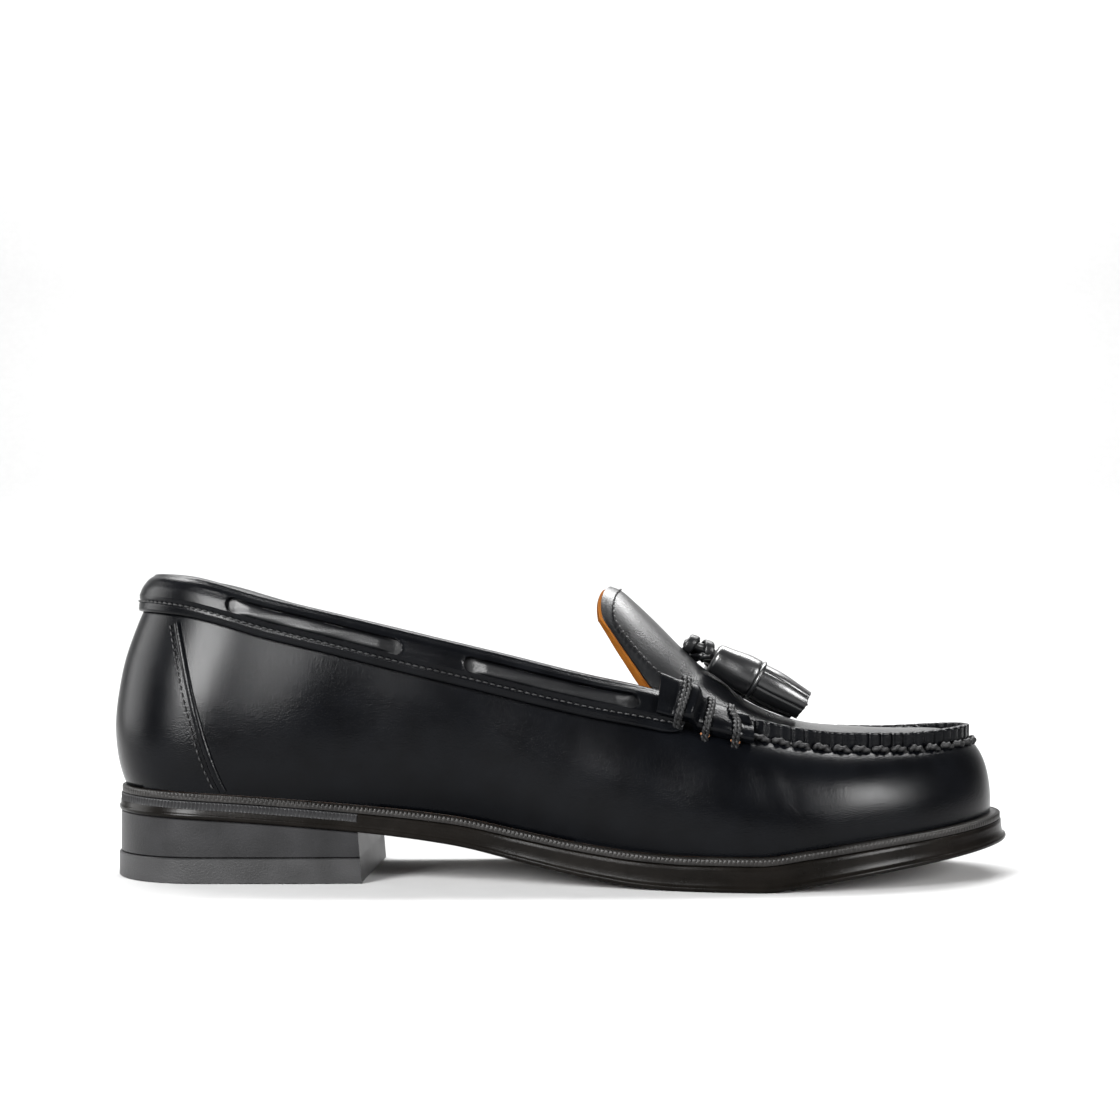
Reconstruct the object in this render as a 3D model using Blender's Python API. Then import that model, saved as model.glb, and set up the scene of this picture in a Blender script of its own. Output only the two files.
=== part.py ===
"""Tassel loafer, right shoe: moc toe, beef rolls, laced collar band, leather sole and stacked heel.

Metres, +Z up, toe towards +X, outer side towards -Y, standing on z = 0.
"""
import functools
import math

import bmesh
import bpy
import numpy as np

# Main sizes of the shoe
LENGTH = 0.3005
BALL_WIDTH = 0.1050
WAIST_WIDTH = 0.0640
HEEL_WIDTH = 0.0668
HEEL_HEIGHT = 0.0222
TOE_SPRING = 0.0124
BACK_HEIGHT = 0.1014
MOC_HEIGHT = 0.0490
TONGUE_HEIGHT = 0.0970

# Layers of the bottom
OUTSOLE_THICKNESS = 0.0078
WELT_THICKNESS = 0.0022
WELT_PROJECTION = 0.0050
WELT_SETBACK = 0.0016
WELT_SEAT = 0.0030
WELT_BEVEL = 0.0006
INSOLE_THICKNESS = 0.0032
EDGE_LIP_HEIGHT = 0.0013
LIFT_HEIGHT = 0.0081
LIFT_PROUD = 0.0006
BREAST_SHARE = 0.279
BREAST_RAKE = 0.0018
BREAST_HOLLOW = 0.0016
BREAST_ZONE_SHARE = 0.020
RAND_HEIGHT = 0.0031
RAND_WIDTH = 0.0080
RIB_PITCH = 0.0029
RIB_DEPTH = 0.0004

# Upper
WALL = 0.0020
FOOT_BACK = 0.0021
FOOT_FRONT = 0.0053
COLLAR_LEAN = 0.0105
MOC_SETBACK = 0.0121
LIP_RISE = 0.0050
RIDGE_WIDTH = 0.0028
RIDGE_HEIGHT = 0.0009
COUNTER_SHARE = 0.135
COUNTER_SWEEP = 0.095
COUNTER_TOP = 0.80
COUNTER_REACH = 0.60
LIP_FROM_SHARE = 0.665
LIP_TO_SHARE = 0.745

# Apron and tongue
APRON_THICKNESS = 0.0024
APRON_DROP = 0.0026
APRON_BACK_SHARE = 0.722

# Collar band and its thong
BAND_DEPTH = 0.0142
BAND_FOLD = 0.0019
BAND_WALL = 0.0011
BAND_INNER_DEPTH = 0.0085
BAND_HEM = 0.0029
BAND_FRONT_SHARE = 0.640
BAND_POINT = 0.0100
BAND_POINT_DEPTH = 0.87
LACE_HEIGHT = 0.0052
LACE_THICKNESS = 0.0013
LACE_SWELL = 0.0009
LACE_FRONT_SHARE = 0.625
LACE_DROP = 0.0050
TUNNEL_EASE = 0.0008
BAND_EASE = 0.0006
BAND_INNER_EASE = 0.0009
SLOT_HEIGHT = 0.0048

# Beef rolls and their bindings
ROLL_BACK_SHARE = 0.607
ROLL_FRONT_SHARE = 0.716
ROLL_EASE = 0.0007
ROLL_TAB = 0.0022
ROLL_PINCH = 0.0026
ROLL_SWELL = 0.0050
BINDING_WIDTH = 0.0029
BINDING_THICKNESS = 0.0011

# Knot, thongs and tassels
THONG_DIAMETER = 0.0034
KNOT_RADIUS = 0.0038
CAP_LENGTH = 0.0170
CAP_TOP_DIAMETER = 0.0098
CAP_DIAMETER = 0.0122
CAP_RING_HEIGHT = 0.0016
CAP_RING_PROUD = 0.0004
SKIRT_LENGTH = 0.0170
SKIRT_DIAMETER = 0.0112
SKIRT_END_DIAMETER = 0.0088
SKIRT_STRIPS = 8
SLIT_DEPTH = 0.0011
CORE_DEPTH = 0.0012
CORE_RISE = 0.0006

# Fits
GAP = 0.0003

# Resolution
SIDE_STEPS = 27
CLOSE_FROM = 0.56
CLOSE_TO = 0.76
COLLAR_STEPS = 47
LACE_STEPS = 33
ROUND_STEPS = 14
BREAST_STEP = 0.0005


def slopes(xs, ys):
    """Slopes that keep a cubic through the points monotone, so flat stretches stay flat."""
    step = np.diff(xs)
    slope = np.diff(ys) / step
    found = np.zeros(len(xs))
    found[0] = slope[0]
    found[-1] = slope[-1]
    for i in range(1, len(xs) - 1):
        if slope[i - 1] * slope[i] > 0:
            first = 2 * step[i] + step[i - 1]
            second = step[i] + 2 * step[i - 1]
            found[i] = (first + second) / (first / slope[i - 1] + second / slope[i])
    return found


def table(names, *rows):
    """Named columns of a short table: for each its values and slopes over the first column."""
    columns = np.array(rows, dtype=float).T
    return {name: (values, slopes(columns[0], values)) for name, values in zip(names.split(), columns)}


# Plan of the sole: along is the share of the length, heel and ball are how much of the width
# there is heel width or ball width (the rest is waist width), projection is a share of the
# welt's projection, centre a share of the ball width, setback a share of the welt's setback
SOLE_PLAN = table(
    "along heel  ball  projection centre setback",
    (0.00, 1.00, 0.00, 0.32,  0.000, 0.35),
    (0.20, 1.00, 0.00, 0.36,  0.000, 0.35),
    (0.30, 0.00, 0.02, 0.60, -0.002, 0.40),
    (0.40, 0.00, 0.04, 0.66, -0.006, 0.45),
    (0.50, 0.00, 0.34, 0.84, -0.010, 0.60),
    (0.60, 0.00, 0.71, 1.00, -0.011, 0.75),
    (0.70, 0.00, 0.97, 1.00, -0.009, 0.85),
    (0.80, 0.00, 1.00, 1.00, -0.006, 0.90),
    (0.90, 0.00, 1.00, 0.92,  0.004, 0.95),
    (1.00, 0.00, 1.00, 0.80,  0.022, 1.00),
)
HEEL_ROUND = 0.115
TOE_ROUND = 0.300
TOP_HEEL_ROUND = 0.130
TOP_TOE_ROUND = 0.225
ROUND_POWER = 2.05

# Side line of the sole: heel and toe are shares of the heel height and the toe spring under
# the outsole, thick is the share of the outsole's thickness
SOLE_LINE = table(
    "along heel  toe   thick",
    (0.000, 1.00, 0.00, 0.73),
    (0.140, 0.90, 0.00, 0.73),
    (0.280, 0.74, 0.00, 0.74),
    (0.380, 0.56, 0.00, 0.82),
    (0.452, 0.34, 0.00, 0.90),
    (0.524, 0.14, 0.00, 0.97),
    (0.585, 0.03, 0.00, 1.00),
    (0.630, 0.00, 0.00, 1.00),
    (0.700, 0.00, 0.00, 1.00),
    (0.752, 0.00, 0.16, 1.00),
    (0.832, 0.00, 0.45, 0.96),
    (0.908, 0.00, 0.70, 0.90),
    (1.000, 0.00, 1.00, 0.85),
)

# Sections of the upper, from the feather edge up to the foot of the lip: top is the half width
# at the top as a share of the sole's, out is a share of the half width and up of the height
UPPER_ROWS = table(
    "along top   low_out low_up high_out high_down",
    (0.00, 0.72, 0.245, 0.30, 0.270, 0.26),
    (0.10, 0.76, 0.150, 0.30, 0.150, 0.27),
    (0.20, 0.84, 0.150, 0.30, 0.135, 0.28),
    (0.30, 0.94, 0.190, 0.32, 0.090, 0.28),
    (0.40, 0.97, 0.215, 0.34, 0.095, 0.27),
    (0.50, 0.85, 0.150, 0.36, 0.105, 0.28),
    (0.60, 0.74, 0.095, 0.38, 0.130, 0.27),
    (0.70, 0.66, 0.052, 0.42, 0.195, 0.15),
    (0.80, 0.63, 0.048, 0.44, 0.165, 0.10),
    (0.90, 0.63, 0.035, 0.44, 0.125, 0.10),
    (1.00, 0.63, 0.020, 0.44, 0.088, 0.11),
)

# Top line from the heel round to the moc toe, as the share of the rise from moc to back height
TOP_LINE = table(
    "along rise",
    (0.000, 1.000),
    (0.059, 0.965),
    (0.159, 0.824),
    (0.238, 0.725),
    (0.341, 0.592),
    (0.402, 0.515),
    (0.532, 0.345),
    (0.606, 0.262),
    (0.666, 0.165),
    (0.720, 0.075),
    (0.774, 0.012),
    (0.827, -0.015),
    (0.900, -0.020),
    (1.000, 0.015),
)

# How far the upper's own top stays below the top line: a share of the band's fold
TUCK = table(
    "along fold",
    (0.00, 1.0),
    (0.60, 1.0),
    (0.66, 1.2),
    (0.74, 0.0),
    (1.00, 0.0),
)

# Crown of the apron over its edge, as a share of the tongue's height above the moc
APRON_CROWN = table(
    "along crown",
    (0.720, 0.190),
    (0.774, 0.110),
    (0.827, 0.085),
    (0.900, 0.070),
    (0.960, 0.045),
    (1.000, 0.000),
)

# Rows of the tongue from the apron back to its tip: x is a share of the length, wide of the
# half width of the upper's top there, high of the tongue's height, sweep of the length
TONGUE_ROWS = table(
    "edge_x edge_wide edge_high mid_x  mid_high sweep power",
    (0.684, 0.850, 0.510, 0.6810, 0.662, 0.000, 2.0),
    (0.656, 0.815, 0.540, 0.6560, 0.718, 0.000, 2.0),
    (0.628, 0.790, 0.575, 0.6310, 0.790, 0.000, 2.0),
    (0.605, 0.780, 0.620, 0.6060, 0.868, 0.002, 1.9),
    (0.585, 0.770, 0.672, 0.5830, 0.936, 0.006, 1.8),
    (0.570, 0.760, 0.705, 0.5670, 0.980, 0.011, 1.7),
    (0.563, 0.750, 0.720, 0.5540, 1.000, 0.014, 1.7),
)

# Slots of the collar band, as shares along the top line
SLOTS = (
    (0.112, 0.317),
    (0.389, 0.587),
)

# Half section of a roll's top and bottom edge, from the upper's top edge down
ROLL_EDGES = table(
    "along top     bottom",
    (0.0, -0.0058, 0.0082),
    (0.5, -0.0036, 0.0088),
    (1.0, -0.0012, 0.0104),
)
BINDINGS = (0.22, 0.52, 0.82)

# Tassels: where the cap starts, the direction it hangs and its side
TASSELS = {
    "outer": ((0.2003, -0.0105, 0.0727), (0.86, -0.06, -0.46)),
    "inner": ((0.2010, 0.0105, 0.0715), (0.86, 0.08, -0.45)),
}

# The knot lies along the tongue: distance from its middle and radius, as shares of its size
KNOT_PLACE = (0.1972, -0.0008, 0.0767)
KNOT_AXIS = (0.90, 0.0, -0.34)
KNOT_FORM = (
    (-1.45, 0.42),
    (-1.20, 0.80),
    (-0.70, 0.94),
    (-0.10, 0.78),
    (0.45, 1.00),
    (1.00, 0.90),
    (1.35, 0.50),
)


def smooth(rows, name, x):
    """Monotone cubic through one column of a table."""
    xs = rows["along"][0]
    ys, slope = rows[name]
    x = np.clip(np.asarray(x, dtype=float), xs[0], xs[-1])
    i = np.clip(np.searchsorted(xs, x, side="right") - 1, 0, len(xs) - 2)
    step = xs[i + 1] - xs[i]
    t = (x - xs[i]) / step
    return (
        (2 * t**3 - 3 * t**2 + 1) * ys[i]
        + (t**3 - 2 * t**2 + t) * step * slope[i]
        + (3 * t**2 - 2 * t**3) * ys[i + 1]
        + (t**3 - t**2) * step * slope[i + 1]
    )


def unit(v):
    return v / np.linalg.norm(v, axis=-1, keepdims=True)


def share(a):
    """Share of the length at a turn a: 0 at the heel, 1 at the toe, 2 back at the heel."""
    return (1 - np.cos(np.pi * np.asarray(a, dtype=float))) / 2


def turn(c):
    """Turn on the outer side at a share c of the length."""
    return np.arccos(1 - 2 * np.asarray(c, dtype=float)) / np.pi


def side(a):
    """-1 on the outer side, +1 on the inner side."""
    return -np.sign(np.sin(np.pi * np.asarray(a, dtype=float)) + 1e-15)


def rounding(c, heel, toe):
    """Half width of a plan with round ends, as a share."""
    back = np.clip(1 - c / heel, 0, 1)
    front = np.clip((c - 1 + toe) / toe, 0, 1)
    power = ROUND_POWER
    return (1 - back**power) ** (1 / power) * (1 - front**power) ** (1 / power)


def sole_half(c):
    heel = smooth(SOLE_PLAN, "heel", c)
    ball = smooth(SOLE_PLAN, "ball", c)
    waist = 1 - heel - ball
    return (heel * HEEL_WIDTH + ball * BALL_WIDTH + waist * WAIST_WIDTH) / 2


def centre(x):
    return smooth(SOLE_PLAN, "centre", x / LENGTH) * BALL_WIDTH


def outline(a, back, front, half, heel=HEEL_ROUND, toe=TOE_ROUND):
    """Plan point at turn a of a line between back and front with the given half width."""
    c = share(a)
    x = back + (front - back) * c
    y = centre(x) + side(a) * half * rounding(c, heel, toe)
    return np.stack([x, y], axis=-1)


def sole_plan(a, inset=0.0):
    """Outline of the sole, drawn in by an inset."""
    return outline(a, inset, LENGTH - inset, sole_half(share(a)) - inset)


def foot_plan(a, inset=0.0):
    """Feather line of the upper, drawn in by an inset."""
    c = share(a)
    half = sole_half(c) - smooth(SOLE_PLAN, "projection", c) * WELT_PROJECTION - inset
    return outline(a, FOOT_BACK + inset, LENGTH - FOOT_FRONT - inset, half)


def top_half(c):
    return smooth(UPPER_ROWS, "top", c) * sole_half(c)


def top_plan(a):
    """Top edge of the upper seen from above: the collar behind, the moc seam in front."""
    back = COLLAR_LEAN
    front = LENGTH - MOC_SETBACK
    return outline(a, back, front, top_half(share(a)), TOP_HEEL_ROUND, TOP_TOE_ROUND)


def sole_bottom(x):
    c = x / LENGTH
    return smooth(SOLE_LINE, "heel", c) * HEEL_HEIGHT + smooth(SOLE_LINE, "toe", c) * TOE_SPRING


def outsole_top(x):
    return sole_bottom(x) + smooth(SOLE_LINE, "thick", x / LENGTH) * OUTSOLE_THICKNESS


def welt_top(x):
    return outsole_top(x) + GAP + WELT_THICKNESS


def top_line(c):
    return MOC_HEIGHT + smooth(TOP_LINE, "rise", c) * (BACK_HEIGHT - MOC_HEIGHT)


def with_z(plan, z):
    return np.concatenate([plan, np.asarray(z)[..., None]], axis=-1)


def upright(c):
    """1 where the lip stands up from the vamp, 0 where the wall runs on under the band."""
    t = np.clip((c - LIP_FROM_SHARE) / (LIP_TO_SHARE - LIP_FROM_SHARE), 0, 1)
    return t * t * (3 - 2 * t)


def controls(a):
    """The four control points of the upper's section at turn a, and the lip over them."""
    a = np.asarray(a, dtype=float)
    c = share(a)
    step = 1e-4
    along = foot_plan(a + step) - foot_plan(a - step)
    out = unit(np.stack([along[..., 1], -along[..., 0]], axis=-1))
    out = np.concatenate([out, np.zeros(a.shape + (1,))], axis=-1)
    up = np.zeros(a.shape + (3,))
    up[..., 2] = 1
    foot = foot_plan(a)
    low = with_z(foot, welt_top(foot[..., 0]) + GAP)
    top = top_line(c) - smooth(TUCK, "fold", c) * BAND_FOLD - LIP_RISE
    high = with_z(top_plan(a), top)
    height = (high - low)[..., 2:]
    half = sole_half(c)[..., None]
    names = ("low_out", "low_up", "high_out", "high_down")
    rows = {name: smooth(UPPER_ROWS, name, c)[..., None] for name in names}
    second = low + out * rows["low_out"] * half + up * rows["low_up"] * height
    third = high + out * rows["high_out"] * half - up * rows["high_down"] * height
    blend = upright(c)[..., None]
    lip = unit(unit(high - third) * (1 - blend) + up * blend) * LIP_RISE
    return low, second, third, high, lip


def surface(a, v):
    """Outer face of the upper: v runs 0 to 1 from feather to the foot of the lip, 2 is its top."""
    a, v = np.broadcast_arrays(np.asarray(a, dtype=float), np.asarray(v, dtype=float))
    low, second, third, high, lip = controls(a)
    t = np.clip(v, 0, 1)[..., None]
    rise = np.maximum(v - 1, 0)[..., None]
    curve = (1 - t) ** 3 * low + 3 * t * (1 - t) ** 2 * second
    curve = curve + 3 * t**2 * (1 - t) * third + t**3 * high
    return curve + rise * lip


def normal(a, v):
    """Outward normal of the upper's outer face."""
    step = 1e-3
    a, v = np.broadcast_arrays(np.asarray(a, dtype=float), np.asarray(v, dtype=float))
    low = np.where(v > 1, np.maximum(v - step, 1), np.maximum(v - step, 0))
    along = surface(a + step, v) - surface(a - step, v)
    up = surface(a, low + 2 * step) - surface(a, low)
    return unit(np.cross(along, up))


@functools.cache
def ladder(a):
    """Rungs up the upper's section at turn a: their places, normals and length from the foot."""
    rungs = np.concatenate([np.linspace(0, 1, 31), [1.5, 2.0]])
    turns_here = np.full(rungs.shape, a)
    line = surface(turns_here, rungs)
    length = np.concatenate([[0], np.cumsum(np.linalg.norm(np.diff(line, axis=0), axis=1))])
    return line, normal(turns_here, np.minimum(rungs, 1.9)), length


def place(a, down, off):
    """Point at a distance down from the upper's top edge and off its outer face."""
    line, normals, length = ladder(float(a))
    at = length[-1] - max(down, 0)
    point = np.array([np.interp(at, length, line[:, k]) for k in range(3)])
    out = unit(np.array([np.interp(at, length, normals[:, k]) for k in range(3)]))
    edge = unit(line[-1] - line[-2])
    return point + out * off + edge * max(-down, 0)


def material(name, colour, roughness, metallic=0.0):
    """Principled material in plain colours."""
    made = bpy.data.materials.new(name)
    made.use_nodes = True
    shader = made.node_tree.nodes["Principled BSDF"]
    shader.inputs["Base Color"].default_value = (*colour, 1)
    shader.inputs["Roughness"].default_value = roughness
    shader.inputs["Metallic"].default_value = metallic
    return made


def solid(name, points, faces, colour, roughness, sharp=40):
    """One closed mesh object in the shoe's frame, its centre over the origin."""
    mesh = bpy.data.meshes.new(name)
    mesh.from_pydata([tuple(p) for p in np.asarray(points) - MIDDLE], [], faces)
    shape = bmesh.new()
    shape.from_mesh(mesh)
    bmesh.ops.recalc_face_normals(shape, faces=shape.faces)
    shape.to_mesh(mesh)
    shape.free()
    mesh.shade_smooth()
    mesh.set_sharp_from_angle(angle=math.radians(sharp))
    made = bpy.data.objects.new(name, mesh)
    made.data.materials.append(material(name, colour, roughness))
    bpy.context.scene.collection.objects.link(made)
    return made


def loft(sections, closed=False):
    """Points and faces of a skin over equal closed sections, joined round or capped."""
    count = len(sections[0])
    points = np.concatenate(sections)
    faces = []
    last = len(sections) if closed else len(sections) - 1
    for i in range(last):
        here = i * count
        there = (i + 1) % len(sections) * count
        for j in range(count):
            k = (j + 1) % count
            faces.append((here + j, here + k, there + k, there + j))
    if not closed:
        faces.append(tuple(range(count)))
        faces.append(tuple(range(len(points) - count, len(points))))
    return points, faces


def side_turns():
    """Turns along the outer side, closer under the roll, where sole and upper bend most."""
    even = list(np.arange(1, SIDE_STEPS) / SIDE_STEPS)
    between = [a + 0.5 / SIDE_STEPS for a in even]
    return sorted(even + [a for a in between if CLOSE_FROM < share(a) < CLOSE_TO])


def turns():
    """Turns right round the shoe."""
    near = side_turns()
    return np.array([0.0, *near, 1.0, *[2 - a for a in near[::-1]]])


def stations():
    """Turns on the outer side for a plate that is lofted from heel to toe."""
    end = 0.35 / SIDE_STEPS
    return np.array([end, *side_turns(), 1 - end])


# The part reaches from the back of the upper to the tip of the sole, and is as wide as the sole
MIDDLE_Y = sole_plan(np.linspace(0, 2, 721))[:, 1]
BACK_X = surface(np.zeros(201), np.linspace(0, 2, 201))[:, 0].min()
MIDDLE = np.array([(BACK_X + LENGTH) / 2, (MIDDLE_Y.min() + MIDDLE_Y.max()) / 2, 0])

BLACK = (0.018, 0.019, 0.022)
SOLE_BLACK = (0.030, 0.026, 0.024)
HEEL_BLACK = (0.035, 0.035, 0.037)
WELT_BROWN = (0.050, 0.043, 0.038)
THREAD = (0.015, 0.015, 0.016)
TAN = (0.350, 0.180, 0.080)


def across(a, inset_plan, z_of_x, off=0.0):
    """The outer and inner points of a plan at one station, at the height of its own x."""
    pair = inset_plan(np.array([a, 2 - a]), off)
    return with_z(pair, z_of_x(pair[:, 0]))


def outsole():
    """Leather outsole with arch, toe spring, a lip along its edge and a seat for the rand."""
    sections = []
    breast = BREAST_SHARE * LENGTH
    edge = turn(BREAST_SHARE)
    places = np.concatenate([stations(), [edge - BREAST_STEP, edge + BREAST_STEP]])
    for a in np.sort(places):
        c = share(a)
        setback = float(smooth(SOLE_PLAN, "setback", c)) * WELT_SETBACK
        heel = c * LENGTH < breast
        sink = RAND_HEIGHT + GAP if heel else 0
        shelf = RAND_WIDTH + GAP
        near = []
        far = []
        rungs = (
            (0.0, 0.0, 0.0),
            (0.0, EDGE_LIP_HEIGHT, 0.0),
            (0.2 * setback, 1.25 * EDGE_LIP_HEIGHT, 0.0),
            (0.8 * setback, 0.0, 0.40),
            (setback, -sink, 1.0),
            (shelf if heel else 0.4 * shelf, -sink, 1.0),
            (shelf, 0.0, 1.0),
        )
        for inset, lift, level in rungs:
            pair = sole_plan(np.array([a, 2 - a]), inset)
            low = sole_bottom(pair[:, 0])
            z = low + level * (outsole_top(pair[:, 0]) - low) + lift
            near.append([pair[0, 0], pair[0, 1], z[0]])
            far.append([pair[1, 0], pair[1, 1], z[1]])
        sections.append(np.array(near + far[::-1]))
    return solid("outsole", *loft(sections), SOLE_BLACK, 0.45)


def welt():
    """Flat ring round the sole that carries the upper's edge."""
    sections = []
    for a in turns():
        c = share(a)
        setback = float(smooth(SOLE_PLAN, "setback", c)) * WELT_SETBACK + GAP
        outer = sole_plan(a, setback)
        inner = foot_plan(a, WELT_SEAT)
        foot = foot_plan(a)
        rungs = (
            (inner, outsole_top, GAP),
            (outer, outsole_top, GAP),
            (outer, welt_top, -WELT_BEVEL),
            (foot + 0.5 * (outer - foot), welt_top, 0.0),
            (foot, welt_top, 0.0),
            (inner, welt_top, 0.0),
        )
        sections.append(np.array([[p[0], p[1], float(z(p[0])) + lift] for p, z, lift in rungs]))
    return solid("welt", *loft(sections, closed=True), WELT_BROWN, 0.55)


def rand_turns():
    """Turns of the rand's ribs, evenly spaced along the heel's edge from breast to breast."""
    edge = turn(BREAST_SHARE - GAP / LENGTH)
    fine = np.linspace(-edge, edge, 1201)
    plan = sole_plan(fine)
    length = np.concatenate([[0], np.cumsum(np.linalg.norm(np.diff(plan, axis=0), axis=1))])
    ribs = int(length[-1] / RIB_PITCH)
    places = np.linspace(0, length[-1], 2 * ribs + 1)
    return np.interp(places, length, fine)


def heel_rand():
    """Ribbed strip round the heel between outsole and welt, its ribs as small teeth."""
    sections = []
    for i, a in enumerate(rand_turns()):
        setback = float(smooth(SOLE_PLAN, "setback", share(a))) * WELT_SETBACK
        outer = sole_plan(a, setback + RIB_DEPTH * (i % 2))
        inner = sole_plan(a, RAND_WIDTH)
        section = []
        for p, lift in ((inner, 0), (outer, 0), (outer, RAND_HEIGHT), (inner, RAND_HEIGHT)):
            base = float(outsole_top(p[0])) - RAND_HEIGHT
            section.append([p[0], p[1], base + lift])
        sections.append(np.array(section))
    return solid("heel_rand", *loft(sections), HEEL_BLACK, 0.5, sharp=25)


def heel_plate(name, bottom, top, inset, colour):
    """One layer of the heel, closed in front by the raked, slightly hollow breast."""
    sections = []
    breast = BREAST_SHARE * LENGTH
    hollow_steps = np.linspace(0, 1, 5)
    for a in [a for a in stations() if share(a) < BREAST_SHARE - BREAST_ZONE_SHARE]:
        low = across(a, sole_plan, bottom, inset)
        high = across(a, sole_plan, top, inset)
        low = low[0] + hollow_steps[:, None] * (low[1] - low[0])
        high = high[0] + hollow_steps[:, None] * (high[1] - high[0])
        sections.append(np.concatenate([low, high[::-1]]))
    edge = turn(BREAST_SHARE)
    rims = []
    for level in (bottom, top):
        ends = across(edge, sole_plan, level, inset)
        rim = ends[0] + hollow_steps[:, None] * (ends[1] - ends[0])
        rise = rim[:, 2] / HEEL_HEIGHT
        rake = BREAST_RAKE * (1 - rise)
        hollow = BREAST_HOLLOW * 4 * hollow_steps * (1 - hollow_steps)
        rim[:, 0] = breast + rake - hollow
        rims.append(rim)
    sections.append(np.concatenate([rims[0], rims[1][::-1]]))
    return solid(name, *loft(sections), colour, 0.42)


def heel_block():
    def bottom(x):
        return np.full(np.shape(x), LIFT_HEIGHT + GAP)

    def top(x):
        return sole_bottom(x) - GAP

    return heel_plate("heel_block", bottom, top, LIFT_PROUD, HEEL_BLACK)


def top_lift():
    def bottom(x):
        return np.zeros(np.shape(x))

    def top(x):
        return np.full(np.shape(x), LIFT_HEIGHT)

    return heel_plate("top_lift", bottom, top, 0.0, HEEL_BLACK)


def insole():
    """Board inside the welt, on the outsole."""
    sections = []
    for a in stations():
        low = across(a, foot_plan, outsole_top, WELT_SEAT + 2 * GAP)
        low[:, 2] += GAP
        high = low.copy()
        high[:, 2] += INSOLE_THICKNESS
        sections.append(np.array([low[0], low[1], high[1], high[0]]))
    return solid("insole", *loft(sections), TAN, 0.7)


def upper_columns():
    """Column turns at the feather line, with four more for each counter seam ridge."""
    ridge = turn(COUNTER_SHARE)
    half = RIDGE_WIDTH / 2 / (LENGTH * np.pi / 2 * math.sin(math.pi * ridge))
    base = [a for a in turns() if min(abs(a - ridge), abs(2 - a - ridge)) > 1.5 * half]
    lifted = {}
    for shift, lift in ((-1.0, 0.0), (-0.5, 1.0), (0.5, 1.0), (1.0, 0.0)):
        for a in (ridge + shift * half, 2 - ridge - shift * half):
            base.append(a)
            lifted[a] = lift
    base.sort()
    return [(a, lifted.get(a, 0.0)) for a in base]


def lean(a, v):
    """The seam leans back as it rises, and the columns beside it follow."""
    ridge = turn(COUNTER_SHARE)
    rise = min(v, 1.0)
    shift = ridge - turn(COUNTER_SHARE - COUNTER_SWEEP * rise)
    near = a if a < 1 else 2 - a
    free = COUNTER_REACH
    weight = near / ridge if near < ridge else max(0.0, (free - near) / (free - ridge))
    moved = near - shift * weight
    return moved if a < 1 else 2 - moved


def upper():
    """Vamp and quarters as one hollow wall, with the counter seams and the moc lip."""
    outer_rows = (0.0, 0.10, 0.22, 0.35, 0.50, 0.65, 0.79, 0.84, 0.93, 1.0, 2.0)
    inner_rows = (2.0, 1.0, 0.89, 0.76, 0.52, 0.25, 0.0)
    sections = []
    for a, lift in upper_columns():
        section = []
        for v in outer_rows:
            at = lean(a, v)
            rise = RIDGE_HEIGHT * lift if v < COUNTER_TOP else 0.0
            section.append(surface(at, v) + normal(at, v) * rise)
        for v in inner_rows:
            at = lean(a, v)
            if v == 0:
                inner = foot_plan(at, WALL)
                section.append(np.array([*inner, float(welt_top(inner[0])) + GAP]))
            elif v == 1:
                below = normal(at, 0.99)
                above = normal(at, 1.5)
                middle = unit(below + above)
                section.append(surface(at, v) - middle * WALL / float(middle @ above))
            else:
                section.append(surface(at, v) - normal(at, min(v, 1.9)) * WALL)
        sections.append(np.array(section))
    return solid("upper", *loft(sections, closed=True), BLACK, 0.28, sharp=50)


def apron_rows():
    """Rows of points across the top face of apron and tongue, from the toe back to its tip."""
    spread = np.linspace(-1, 1, 9)
    rows = []
    for a in np.linspace(1 - 0.4 / SIDE_STEPS, turn(APRON_BACK_SHARE), 13):
        ends = []
        for at in (a, 2 - a):
            edge = surface(at, 2.0) - normal(at, 1.9) * (WALL + GAP)
            edge[2] -= APRON_DROP
            ends.append(edge)
        crown = float(smooth(APRON_CROWN, "crown", share(a))) * (TONGUE_HEIGHT - MOC_HEIGHT)
        row = ends[0] + (spread[:, None] + 1) / 2 * (ends[1] - ends[0])
        row[:, 2] += crown * (1 - np.abs(spread) ** 2)
        rows.append(row)
    for k in range(len(TONGUE_ROWS["edge_x"][0])):
        row = {name: values[0][k] for name, values in TONGUE_ROWS.items()}
        edge_x = row["edge_x"] * LENGTH
        mid_x = row["mid_x"] * LENGTH
        c = (edge_x - COLLAR_LEAN) / (LENGTH - MOC_SETBACK - COLLAR_LEAN)
        wide = float(top_half(c)) * row["edge_wide"]
        fall = (row["mid_high"] - row["edge_high"]) * TONGUE_HEIGHT
        bent = np.sin(np.pi * np.abs(spread))
        x = mid_x + (edge_x - mid_x) * spread**2 - row["sweep"] * LENGTH * bent
        y = float(centre(edge_x)) + wide * spread
        z = row["mid_high"] * TONGUE_HEIGHT - fall * np.abs(spread) ** row["power"]
        rows.append(np.stack([x, y, z], axis=-1))
    return np.array(rows)


def grid_normals(grid, up):
    """Normals of a grid of points, turned towards the up direction."""
    along = np.gradient(grid, axis=0)
    over = np.gradient(grid, axis=1)
    normals = unit(np.cross(along, over))
    flip = np.sign((normals * up).sum(axis=-1))
    return normals * flip[..., None]


def apron_tongue():
    """Moc plug and tongue as one curved plate that sits inside the lip."""
    grid = apron_rows()
    below = grid - grid_normals(grid, np.array([0.4, 0, 1])) * APRON_THICKNESS
    inset = 1 - (APRON_THICKNESS * 0.35) / (BALL_WIDTH / 2)
    middle = below.mean(axis=1, keepdims=True)
    below[:, :, 1] = (middle + (below - middle) * inset)[:, :, 1]
    sections = [np.concatenate([top, low[::-1]]) for top, low in zip(grid, below)]
    return solid("apron_tongue", *loft(sections), BLACK, 0.3, sharp=55)


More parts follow.
